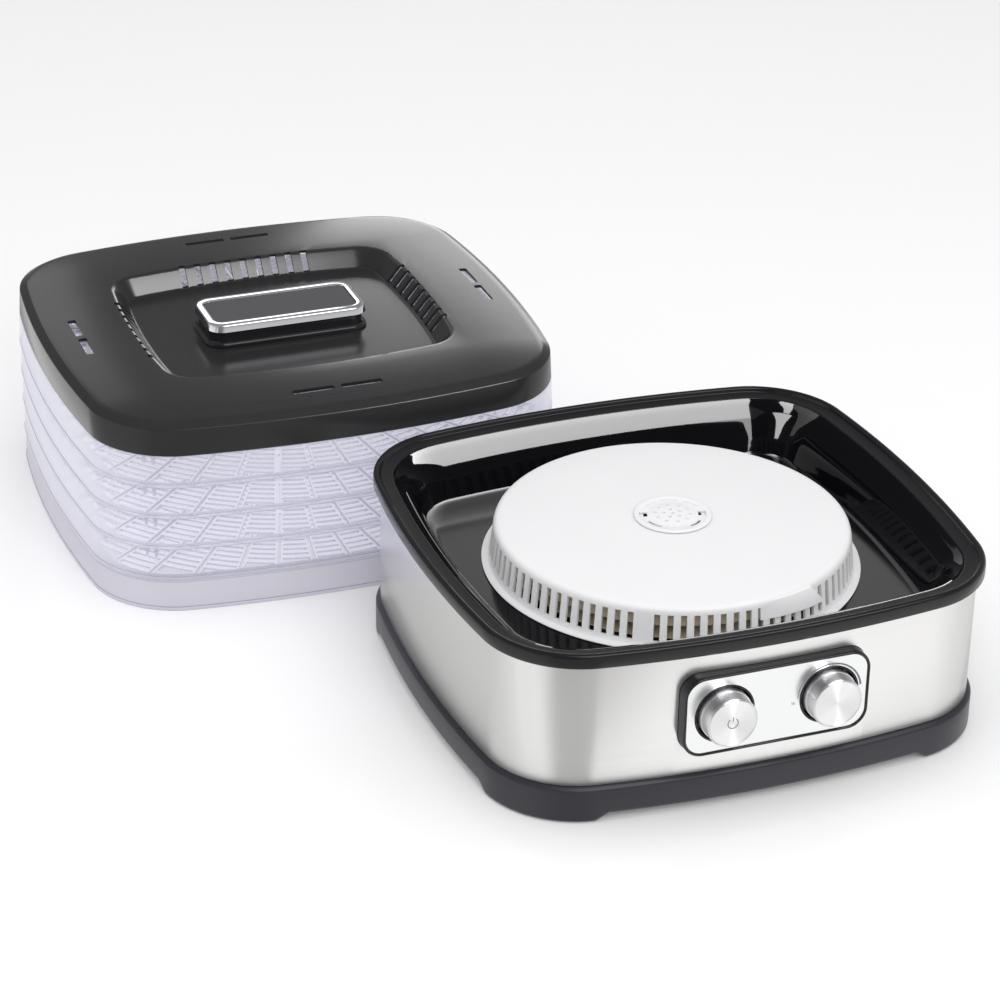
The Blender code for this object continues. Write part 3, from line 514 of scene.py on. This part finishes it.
mesh = turned([(0.0250, 0.1156), (0.0254, 0.1160), (0.0253, 0.1166), (0.0249, 0.1170), (0.0242, 0.1172),
               (0.0226, 0.1172), (0.0219, 0.1169), (0.0214, 0.1166), (0.0160, 0.1166), (0.0150, 0.1167),
               (0.0140, 0.1170), (0.0060, 0.1172)])
holes = bmesh.new()
for number in range(8):
    wide, half = (0.0052, math.radians(9)) if number % 4 == 0 else (0.0018, math.radians(16))
    bottom = 0.110 if number in (0, 4, 5, 7) else 0.11615       # four of them go right through
    inner, outer = 0.0192 - wide / 2, 0.0192 + wide / 2
    rows = []
    for step in range(9):
        turn = TURN * (number - 0.35) / 8 + half * (step / 4 - 1)
        rows.append([(r * math.cos(turn), r * math.sin(turn), z)
                     for r, z in ((inner, bottom), (outer, bottom), (outer, 0.120), (inner, 0.120))])
    loft(rows, mesh=holes)
for count, reach, radius in ((10, 0.0115, 0.0013), (5, 0.0055, 0.0012), (1, 0.0, 0.0011)):
    for number in range(count):
        turn = TURN * number / count + 0.2
        loft([[(x + reach * math.cos(turn), y + reach * math.sin(turn), z)
               for x, y, z in circle(radius, z, 14)] for z in (0.1162, 0.120)], mesh=holes)
place("vent", carve(to_data("vent", mesh), holes), LOOKS["white"], "base", BASE,
      ["vent_cap"])

mesh = turned([(0.1065, 0.0946), (0.1075, 0.0946), (0.1075, 0.1063), (0.1074, 0.1065), (0.1065, 0.1065)],
              144, closed=True)
place("heat_shield", mesh, LOOKS["mica"], "base", BASE, ["mica_shield"])

# ---- base: panel ---------------------------------------------------------------------------
bezel = [(0.0, -0.0105), (0.0, -0.0002), (0.0002, 0.0005), (0.0006, 0.0010), (0.0010, 0.0012),
         (0.0014, 0.0011), (0.0016, 0.0008), (0.0017, -0.0003), (0.0017, -0.0015), (0.0036, -0.0015),
         (0.0036, -0.0105)]
mesh = stacked([(0.0621 - inset, 0.0276 - inset, 0.0135 - inset, z) for inset, z in bezel], closed=True)
place("bezel", mesh, LOOKS["gloss"], "base", PANEL, ["panel_bezel"], FACING_FRONT)

plate = [(0.0, -0.0012), (0.0, -0.0002), (0.0002, 0.0)]
mesh = stacked([(0.0602 - inset, 0.0257 - inset, 0.0116 - inset, z) for inset, z in plate])
KNOB_AT = 0.0350        # from the panel's middle to the button's and the knob's
holes = bmesh.new()
for side in (-1, 1):
    loft([[(x + side * KNOB_AT, y, z) for x, y, z in circle(0.0200, z)] for z in (-0.01, 0.01)],
         mesh=holes)
place("plate", carve(to_data("plate", mesh), holes), LOOKS["plate"], "base", PANEL,
      ["panel_plate"], FACING_FRONT)

collar = [(0.0193, 0.0006), (0.0190, 0.0006), (0.0187, 0.0003), (0.0181, -0.0020), (0.0177, -0.0042),
          (0.0176, -0.0068), (0.0174, -0.0070), (0.0045, -0.0070), (0.0045, -0.0085), (0.0196, -0.0085),
          (0.0196, 0.0003)]
cap = [(0.0158, -0.0035), (0.0170, -0.0030), (0.0172, -0.0026), (0.0172, 0.0028), (0.0171, 0.0031),
       (0.0167, 0.0032), (0.0167, 0.0113), (0.0165, 0.0118), (0.0156, 0.01255),
       (0.0153, 0.01260), (0.0151, 0.01245), (0.0120, 0.01240), (0.0060, 0.01238), (0.0010, 0.01236)]
bore = [(0.0033, 0.0060), (0.0033, -0.0035)]
for side, collar_node, cap_node, body in ((-1, "button_collar", "power_button", "button"),
                                          (1, "knob_collar", "temp_knob", "knob")):
    at = PANEL + Vector((side * KNOB_AT, 0, 0))
    mesh = turned(collar, closed=True)
    place("dish_" + body, mesh, LOOKS["gloss"], "base", at, [collar_node], FACING_FRONT)
    mesh = turned(cap if side < 0 else bore + cap)
    place("cap_" + body, mesh, LOOKS["spun"], body, at, [cap_node],
          FACING_FRONT, sharp=25)


def strip(mesh, points, widths, low, high):
    """A thin raised line along points in the panel's plane."""
    rows = []
    for i, (x, y) in enumerate(points):
        before, after = points[max(0, i - 1)], points[min(len(points) - 1, i + 1)]
        along = Vector((after[0] - before[0], after[1] - before[1])).normalized()
        dx, dy = -along.y * widths[i] / 2, along.x * widths[i] / 2
        rows.append([(x - dx, y - dy, low), (x + dx, y + dy, low),
                     (x + dx, y + dy, high), (x - dx, y - dy, high)])
    return loft(rows, mesh=mesh)


SYMBOL_HEIGHTS = (0.01225, 0.01245)     # sunk into the cap's face, and just above it
SYMBOL_LINE = 0.0006
symbol = bmesh.new()
arc = [polar(0.0034, math.radians(125 + 290 * step / 24)) for step in range(25)]
strip(symbol, arc, [SYMBOL_LINE] * len(arc), *SYMBOL_HEIGHTS)
strip(symbol, [(0, 0.0012), (0, 0.0044)], [SYMBOL_LINE] * 2, *SYMBOL_HEIGHTS)
place("power_symbol", symbol, LOOKS["print"], "button", PANEL - Vector((KNOB_AT, 0, 0)),
      rotation=FACING_FRONT)

# the dial's arc widens clockwise; a small heat mark of three wavy lines stands at its start
MARK_HEIGHTS = (-0.0001, 0.00006)
marks = bmesh.new()
shares = [step / 48 for step in range(49)]
arc = [polar(0.0214, math.radians(178 - 170 * share)) for share in shares]
strip(marks, arc, [0.0003 + 0.0011 * share ** 0.7 for share in shares], *MARK_HEIGHTS)
for middle_x in (-0.0250, -0.0242, -0.0234):
    wave = [(middle_x + 0.0002 * math.sin(step), -0.0030 + 0.0020 * step / 6) for step in range(7)]
    strip(marks, wave, [0.0003] * 7, *MARK_HEIGHTS)
place("dial_marks", marks, LOOKS["print"], "base", PANEL + Vector((KNOB_AT, 0, 0)),
      rotation=FACING_FRONT)

# ---- base: rear inlet ----------------------------------------------------------------------
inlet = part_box("power_inlet")
INLET_X = 0.0900
band_radius = SIDE_RADIUS - BAND_INSET
spin = -math.asin(INLET_X / band_radius)
band_y = HALF_DEPTH - SIDE_RADIUS + band_radius * math.cos(spin)
inlet_at = BASE + Vector((INLET_X, band_y + 0.0003, (inlet[0].z + inlet[1].z) / 2))
sections = [(0.0132, 0.0096, 0.0020, -0.0190), (0.0132, 0.0096, 0.0020, 0.0),
            (0.0156, 0.0121, 0.0025, 0.0), (0.0160, 0.0125, 0.0027, 0.0004),
            (0.0160, 0.0125, 0.0027, 0.0016), (0.0156, 0.0121, 0.0024, 0.0021),
            (0.0150, 0.0115, 0.0020, 0.0022), (0.0121, 0.0084, 0.0018, 0.0022),
            (0.0118, 0.0081, 0.0015, 0.0019), (0.0116, 0.0079, 0.0015, -0.0125)]
mesh = stacked(sections, steps=6)
FACING_BACK = (-math.pi / 2, 0, spin)
place("inlet", mesh, LOOKS["skirt"], "base", inlet_at, ["power_inlet"], FACING_BACK)
pins = bmesh.new()
for x, y in ((0.0, 0.0030), (-0.0070, -0.0020), (0.0070, -0.0020)):
    loft([[(x + px, y + py, z) for px, py, z in rounded(0.0010 - tip, 0.00225 - tip, 0.0004, z, 3)]
          for tip, z in ((0.0, -0.0124), (0.0, -0.0016), (0.0004, -0.0010))], mesh=pins)
place("inlet_pins", pins, LOOKS["zinc"], "base", inlet_at, (), FACING_BACK)

# ---- stack: trays --------------------------------------------------------------------------
TRAY_INSET = 0.0011
tray_profile = [(0.0009, 0.0), (0.0003, 0.0002), (0.0, 0.0008), (0.0, 0.0026), (0.0003, 0.0030),
                (0.0005, 0.0036), (0.0010, 0.0222), (0.0013, 0.0229), (0.0019, 0.0231),
                (0.0040, 0.0231), (0.0042, 0.0250), (0.0046, 0.0256), (0.0052, 0.0256),
                (0.0056, 0.0250), (0.0057, 0.0231), (0.0105, 0.0231), (0.0109, 0.0228),
                (0.0109, 0.0214), (0.0105, 0.0211), (0.0050, 0.0211), (0.0038, 0.0205),
                (0.0030, 0.0195), (0.0022, 0.0030), (0.0020, 0.0003), (0.0015, 0.0)]
inner_edge = [Vector(co[:2]) for co in ring(FOOTPRINT, TRAY_INSET + 0.0107, 0)]


def reach_at(angle):
    """How far the shelf's inner edge is from the middle in one direction."""
    return max((p.length for p in inner_edge
                if abs(math.remainder(math.atan2(p.y, p.x) - angle, TURN)) < 0.03), default=0.15)


def bar(mesh, points, width, low, high, bevel=0.0005):
    """A moulded bar with bevelled upper edges along points in a level plane."""
    rows = []
    for i, point in enumerate(points):
        along = (points[min(i + 1, len(points) - 1)] - points[max(i - 1, 0)]).normalized()
        side = Vector((-along.y, along.x))
        half, shoulder = width / 2, high - bevel
        rows.append([(*(point + side * offset), z) for offset, z in
                     ((-half, low), (half, low), (half, shoulder), (half - bevel, high),
                      (bevel - half, high), (-half, shoulder))])
    return loft(rows, mesh=mesh)


GRID_LOW, GRID_HIGH = 0.0211, 0.0231
HUB, HOOP = 0.0130, 0.0840      # radii of the grid's two rings
RING_WIDTH = 0.0040
RIB_PAIRS = 40          # every other pair starts at the hub, the rest at the hoop
RIB_OFFSET = 0.0019     # of a rib from the middle of its pair
RIB_WIDTH = 0.0013
BAR_WIDTH = 0.0034
BAR_PITCH = 0.0068


def tray_mesh():
    """A skirt with a shelf, a grid of arc-shaped bars between paired radial ribs, and corner pegs."""
    mesh = loft(rings(FOOTPRINT, [(TRAY_INSET + inset, z) for inset, z in tray_profile]), closed=True)
    skirt_faces = len(mesh.faces)
    for number in range(RIB_PAIRS):
        angle = TURN * number / RIB_PAIRS
        start = 0.0150 if number % 2 == 0 else HOOP
        for side in (-1, 1):
            offset = polar(RIB_OFFSET * side, angle + math.pi / 2)
            bar(mesh, [polar(start, angle) + offset, polar(reach_at(angle) + 0.0020, angle) + offset],
                RIB_WIDTH, GRID_LOW - 0.0012, GRID_HIGH, 0.0003)
    for radius in (HUB, HOOP):
        points = [polar(radius, TURN * step / 80) for step in range(80)]
        bar(mesh, [*points, points[0]], RING_WIDTH, GRID_LOW, GRID_HIGH)
    radius = 0.0210
    while radius < 0.2000:
        step_angle = TURN / RIB_PAIRS * (1 if radius > HOOP else 2)
        trim = 0.0024 / radius
        if abs(radius - HOOP) > RING_WIDTH:
            for number in range(round(TURN / step_angle)):
                start, end = number * step_angle + trim, (number + 1) * step_angle - trim
                if radius + 0.0010 < min(reach_at(start), reach_at(end)):
                    bar(mesh, [polar(radius, start + (end - start) * t / 2) for t in range(3)],
                        BAR_WIDTH, GRID_LOW, GRID_HIGH)
        radius += BAR_PITCH
    for corner in range(4):
        for lean in (-1, 1):
            angle = math.pi / 4 + corner * math.pi / 2 + lean * 0.018
            at = polar(reach_at(angle) - 0.0040, angle)
            loft([[(x + at.x, y + at.y, z) for x, y, z in circle(r, z, 14)]
                  for r, z in ((0.0003, 0.0095), (0.0009, 0.0105), (0.0024, 0.0215))], mesh=mesh)
    mesh.faces.ensure_lookup_table()
    mesh.normal_update()
    # Upward faces take the brighter, stronger-glowing grid plastic and the flanks a darker copy: painted
    # light on top, painted shade on the sides.
    for face in mesh.faces[skirt_faces:]:
        face.material_index = 1 if abs(face.normal.z) > 0.5 else 2
    return mesh


tray_data = to_data("tray", tray_mesh())
tray_data.materials.append(LOOKS["clear"])
tray_data.materials.append(LOOKS["grid"])
tray_data.materials.append(LOOKS["grid_painted_shade"])
for number in range(1, 6):
    level = STACK + Vector((0, 0, (5 - number) * TRAY_PITCH))
    tray = place(f"clear_tray_{number}", tray_data, LOOKS["clear"], f"tray_{number}_body", level,
                 [f"tray_{number}"])
    # The lowest tray takes a darker copy of the clear plastic: painted shade.
    if number == 5:
        tray.material_slots[0].link = "OBJECT"
        tray.material_slots[0].material = LOOKS["clear_low_painted_shade"]

# ---- stack: lid ----------------------------------------------------------------------------
LID_INSET = 0.0023
FLOOR = 0.1290          # of the recess
CREST = 0.1416          # of the frame round the recess
FALL = 0.0022           # from the crest to the frame's edge
lid_top = [(0.0110, FLOOR), (0.0102, 0.1293), (0.0096, 0.1300), (0.0080, 0.1320), (0.0016, 0.1400),
           (0.0008, 0.1408), (0.0, 0.1413), (-0.0010, 0.1415), (-0.0025, CREST)]
lid_rows = rings(RECESS, [(0.0200, FLOOR), (0.0130, FLOOR), *lid_top])
FALL_FROM, FALL_TO = 0.0540, 0.0068     # where the lid's gentle fall to its edge begins and ends
fall = [(inset, CREST - FALL * ((FALL_FROM - inset) / (FALL_FROM - FALL_TO)) ** 2) for inset in
        (FALL_FROM, 0.0450, 0.0360, 0.0280, 0.0210, 0.0150, 0.0105, FALL_TO)]
lid_edge = [(0.0062, 0.1391), (0.0058, 0.1389), (0.0038, 0.1378), (0.0018, 0.1366), (0.0014, 0.1364),
            (0.0011, 0.1360), (0.0010, 0.1354), (0.0, 0.1178), (0.0002, 0.1172), (0.0007, 0.1170)]
lid_underside = [(0.0022, 0.1170), (0.0030, 0.1338), (0.0070, 0.1362), (0.0130, 0.1376),
                 (0.0190, 0.1384)]
lid_rows += rings(FOOTPRINT, [(LID_INSET + inset, z) for inset, z in fall + lid_edge + lid_underside])
lid_rows += rings(RECESS, [(-0.0012, 0.1394), (0.0092, 0.1270), (0.0140, 0.1266), (0.0200, 0.1266)])
tool = bmesh.new()


def cut_slot(side, reach, across, half_sizes, corner, heights, steps):
    """Add a slot to the lid's cutter: reach is out from the lid's middle, across is along a side."""
    blank = stacked([(*half_sizes, corner, z) for z in heights], steps=steps)
    blank.transform(Matrix.Rotation(side * math.pi / 2, 4, "Z") @ Matrix.Translation((reach, across, 0)))
    tool.from_mesh(to_data("blank", blank))


# nine slots in each wall of the recess, then a pair in each side of the frame round it
for side, reach in enumerate((0.1020, 0.0895, 0.1020, 0.0880)):
    for number in range(9):
        cut_slot(side, reach, (number - 4) * 0.0116, (0.0075, 0.0024), 0.0007, (0.1294, 0.1430), 3)
for side, reach, offset, length, width in (
        (0, 0.1485, 0.0160, 0.0270, 0.0058), (1, 0.1358, 0.0173, 0.0294, 0.0052),
        (2, 0.1452, 0.0160, 0.0270, 0.0058), (3, 0.1328, 0.0173, 0.0294, 0.0052)):
    for across in (-offset, offset):
        cut_slot(side, reach, across, (width / 2, length / 2), 0.0012, (0.130, 0.150), 4)
place("lid_shell", carve(to_data("lid_shell", loft(lid_rows)), tool), LOOKS["lid"], "lid_body", STACK,
      ["lid"], sharp=32)

pedestal = [(0.0592, 0.0254, 0.0120, 0.1293), (0.0595, 0.0257, 0.0120, 0.1297),
            (0.0595, 0.0257, 0.0120, 0.1303), (0.0588, 0.0250, 0.0115, 0.1307),
            (0.0576, 0.0246, 0.0112, 0.1311), (0.0568, 0.0240, 0.0110, 0.1320),
            (0.0565, 0.0237, 0.0110, 0.1335), (0.0563, 0.0235, 0.0108, 0.1372),
            (0.0562, 0.0236, 0.0108, 0.1384), (0.0560, 0.0237, 0.0107, 0.1390),
            (0.0560, 0.0237, 0.0106, 0.1394), (0.0560, 0.0237, 0.0106, 0.1405)]
place("handle_pedestal", stacked(pedestal), LOOKS["gloss"], "lid_body", STACK,
      ["handle_base"])
frame_ring = [(0.0568, 0.0245, 0.0105, 0.1408), (0.0584, 0.0261, 0.0115, 0.1410),
              (0.0588, 0.0265, 0.0118, 0.1415), (0.0586, 0.0263, 0.0117, 0.1422),
              (0.0580, 0.0257, 0.0113, 0.1441), (0.0575, 0.0252, 0.0110, 0.1456),
              (0.0570, 0.0247, 0.0105, 0.1463), (0.0561, 0.0238, 0.0097, 0.1467),
              (0.0530, 0.0199, 0.0070, 0.1467), (0.0526, 0.0191, 0.0064, 0.1465),
              (0.0524, 0.0185, 0.0060, 0.1459), (0.0524, 0.0185, 0.0060, 0.1408)]
place("handle_frame", stacked(frame_ring, closed=True), LOOKS["chrome"], "lid_body", STACK,
      ["handle_trim"])
panel = [(0.0521, 0.0182, 0.0057, 0.1408), (0.0521, 0.0182, 0.0057, 0.1457),
         (0.0518, 0.0179, 0.0054, 0.1461)]
place("handle_panel", stacked(panel), LOOKS["inlay"], "lid_body", STACK, ["handle_inlay"])

# ---- CAD nodes that stay -------------------------------------------------------------------
KEPT = {
    "rubber": [f"foot_pad_{number}" for number in range(1, 5)],
    "zinc": [*(f"housing_screw_{number}" for number in range(1, 5)), "handle_screw_1", "handle_screw_2",
             "thermal_cutout", "motor_bracket", "motor_body", "motor_shaft", "fan_impeller",
             "impeller_nut", "thermostat_spindle"],
    "skirt": ["intake_grille"],
    "mica": ["heater_frame"],
    "wire": ["heater_coil"],
    "switch": ["power_switch_body", "button_plunger", "thermostat_body", "terminal_block"],
    "lead": ["inlet_lead", "switch_lead", "motor_lead"],
}
for material, names in KEPT.items():
    for name in names:
        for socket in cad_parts[name].material_slots:
            socket.material = LOOKS[material]

# ---- stage, light and camera ---------------------------------------------------------------
mesh = bmesh.new()
bmesh.ops.create_grid(mesh, x_segments=1, y_segments=1, size=30)
floor = bpy.data.objects.new("floor", to_data("floor", mesh))
bpy.context.collection.objects.link(floor)
floor.data.materials.append(finish("studio_floor", (0.84, 0.84, 0.84), 0.20, mottle=0.0, bump=0.0))
glow = floor.data.materials[0].node_tree.nodes["Principled BSDF"]
glow.inputs["Emission Color"].default_value = (1, 1, 1, 1)
glow.inputs["Emission Strength"].default_value = 0.07
floor.visible_glossy = False
floor.visible_shadow = False


def area(name, at, towards, size, radiance, diffuse=True, glossy=True):
    lamp = bpy.data.lights.new(name, "AREA")
    lamp.shape = "RECTANGLE"
    lamp.size, lamp.size_y = size
    lamp.energy = radiance * math.pi * size[0] * size[1]
    light = bpy.data.objects.new(name, lamp)
    light.location = at
    light.rotation_mode = "QUATERNION"
    light.rotation_quaternion = (Vector(towards) - Vector(at)).to_track_quat("-Z", "Y")
    light.visible_camera = False
    light.visible_diffuse = diffuse
    light.visible_glossy = glossy
    light.visible_transmission = False
    bpy.context.collection.objects.link(light)
    return light


def only_on(light, *names):
    """Limit a light to some pieces."""
    group = bpy.data.collections.new(light.name + "_receivers")
    for name in names:
        group.objects.link(bpy.data.objects[name])
    light.light_linking.receiver_collection = group


def seen_from(middle_point, azimuth, elevation, distance):
    """A point in a direction from another: azimuth from +X towards +Y, elevation above the floor."""
    a, e = math.radians(azimuth), math.radians(elevation)
    way = Vector((math.cos(a) * math.cos(e), math.sin(a) * math.cos(e), math.sin(e)))
    return middle_point + way * distance


area("overhead", (-0.1, -0.1, 1.9), (0, 0, 0), (2.0, 1.8), 0.56, glossy=False)
area("fill", seen_from(BASE, -100, 40, 2.4), (0, 0, 0.05), (1.6, 1.0), 3.4, glossy=False)
area("front_card", seen_from(BASE, -70, 60, 1.7), (0, 0, 0.05), (1.5, 0.9), 2.4, diffuse=False)


CARD_HEIGHT = 1.5


def over_well(name, start, azimuth, length, width, radiance):
    """A level card that only the well reflects; from a corner, it runs along -Y turned towards -X."""
    a = math.radians(azimuth)
    along = Vector((-math.sin(a), -math.cos(a), 0))
    across = Vector((-along.y, along.x, 0))
    at = BASE + Vector((*start, CARD_HEIGHT)) + along * length / 2 + across * width / 2
    card = area(name, at, at - Vector((0, 0, 1)), (width, length), radiance, diffuse=False)
    card.rotation_mode = "XYZ"
    card.rotation_euler = (0, 0, -a)
    only_on(card, "well")


over_well("well_card", (0.522, 0.950), 13, 2.75, 1.65, 96.0)
over_well("well_card_low", (-0.097, -1.730), 13, 6.50, 0.75, 56.0)
over_well("well_card_streak", (0.239, 0.918), 59, 1.30, 0.24, 85.0)
over_well("well_card_streak_low", (-0.980, 0.355), 63, 6.00, 0.80, 85.0)
over_well("well_card_fade", (-0.10, 1.50), 90, 5.00, 0.85, 8.0)


CARD_DISTANCE = 1.7
RECESS_MIDDLE = STACK + Vector((0, 0, 0.13))


def card_on(name, azimuth, elevation, size, radiance, *pieces):
    """A card that only some pieces reflect, placed as seen from the stack."""
    at = seen_from(STACK, azimuth, elevation, CARD_DISTANCE)
    only_on(area(name, at, RECESS_MIDDLE, size, radiance, diffuse=False), *pieces)


card_on("lid_card_right", 59, 16.5, (0.76, 0.70), 3.4, "lid_shell")
card_on("lid_card_left", 93, 28, (0.50, 0.40), 1.1, "lid_shell")
card_on("lid_card_front", -48, 47, (0.8, 0.9), 17.0, "lid_shell")
card_on("lid_card_side", 115, -24, (0.9, 0.6), 0.8, "lid_shell")
card_on("well_floor_card", 66, 34, (1.3, 0.7), 2.3, "well")
card_on("rim_card", 56, 5, (1.0, 0.22), 1.5, "rim")
card_on("knob_card", -69, 28, (0.5, 0.5), 7.0, "cap_button", "cap_knob")
only_on(area("handle_card", (-0.1, 2.4, 1.3), STACK, (1.6, 0.9), 1.6, diffuse=False), "handle_frame")

world = bpy.data.worlds.new("studio")
bpy.context.scene.world = world
world.use_nodes = True
tree = world.node_tree
path = tree.nodes.new("ShaderNodeLightPath")
coordinate = tree.nodes.new("ShaderNodeTexCoord")
split = tree.nodes.new("ShaderNodeSeparateXYZ")
link(tree, coordinate.outputs["Generated"], split.inputs["Vector"])
around = tree.nodes.new("ShaderNodeTexGradient")
around.gradient_type = "RADIAL"
link(tree, coordinate.outputs["Generated"], around.inputs["Vector"])
height, turn = split.outputs["Z"], around.outputs["Fac"]

# Reflections see dim walls that fade upwards, and a table of uneven brightness below the horizon.
sky = ramp(tree, height, [(0.0, (0.03, 0.03, 0.033)), (1.0, (0.32, 0.32, 0.33))])
walls = ramp(tree, turn, [
    (0.0, 1.2), (0.05, 1.3), (0.075, 0.6), (0.10, 0.9), (0.115, 1.1), (0.13, 0.15), (0.19, 0.15),
    (0.25, 0.8), (0.50, 0.8), (0.75, 0.3), (0.90, 0.4), (0.95, 1.2), (1.0, 1.2)])
fade = ramp(tree, height, [(0.0, 0.75), (0.65, 0.0)])
above = mixed(tree, 1.0, sky, mixed(tree, 1.0, walls, fade, "MULTIPLY"), "ADD")
table_levels = [
    (0.032, 0.90), (0.058, 0.95), (0.085, 0.87), (0.111, 0.66), (0.138, 0.54), (0.200, 0.52),
    (0.262, 0.52), (0.274, 0.70), (0.285, 0.92), (0.300, 1.08), (0.370, 1.08), (0.403, 0.99),
    (0.443, 0.93), (0.482, 0.85), (0.574, 0.76), (0.700, 0.50), (0.789, 0.55), (0.841, 0.66),
    (0.913, 0.72), (0.979, 0.83)]
table = ramp(tree, turn, [(0.0, 0.93), *((position, (level, level, level * 0.995))
                                         for position, level in table_levels), (1.0, 0.93)])
reflected = mixed(tree, remapped(tree, height, 0.0, -0.12), above, table)
# Other light comes evenly from all round, and the camera sees plain white.
even = mixed(tree, path.outputs["Is Glossy Ray"], (0.98, 0.98, 0.99, 1), reflected)
shown = mixed(tree, path.outputs["Is Camera Ray"], even, (1, 1, 1, 1))
link(tree, shown, tree.nodes["Background"].inputs["Color"])

scene = bpy.context.scene
scene.view_settings.view_transform = "Standard"
scene.cycles.transparent_max_bounces = 24

CAMERA_AT = (-0.68254, -1.83526, 1.08435)
LOOKS_ALONG = (0.31769, 0.82741, -0.46311)
ROLL = 0.0184
lens = bpy.data.cameras.new("camera")
lens.lens = 115.68
lens.sensor_width = 36
lens.sensor_fit = "HORIZONTAL"
lens.clip_end = 100
camera = bpy.data.objects.new("camera", lens)
bpy.context.collection.objects.link(camera)
forward = Vector(LOOKS_ALONG).normalized()
level = forward.cross(Vector((0, 0, 1))).normalized()
upright = level.cross(forward)
right = level * math.cos(ROLL) + upright * math.sin(ROLL)
up = upright * math.cos(ROLL) - level * math.sin(ROLL)
turned_to = Matrix((right, up, -forward)).transposed().to_4x4()
camera.matrix_world = Matrix.Translation(CAMERA_AT) @ turned_to
scene.camera = camera
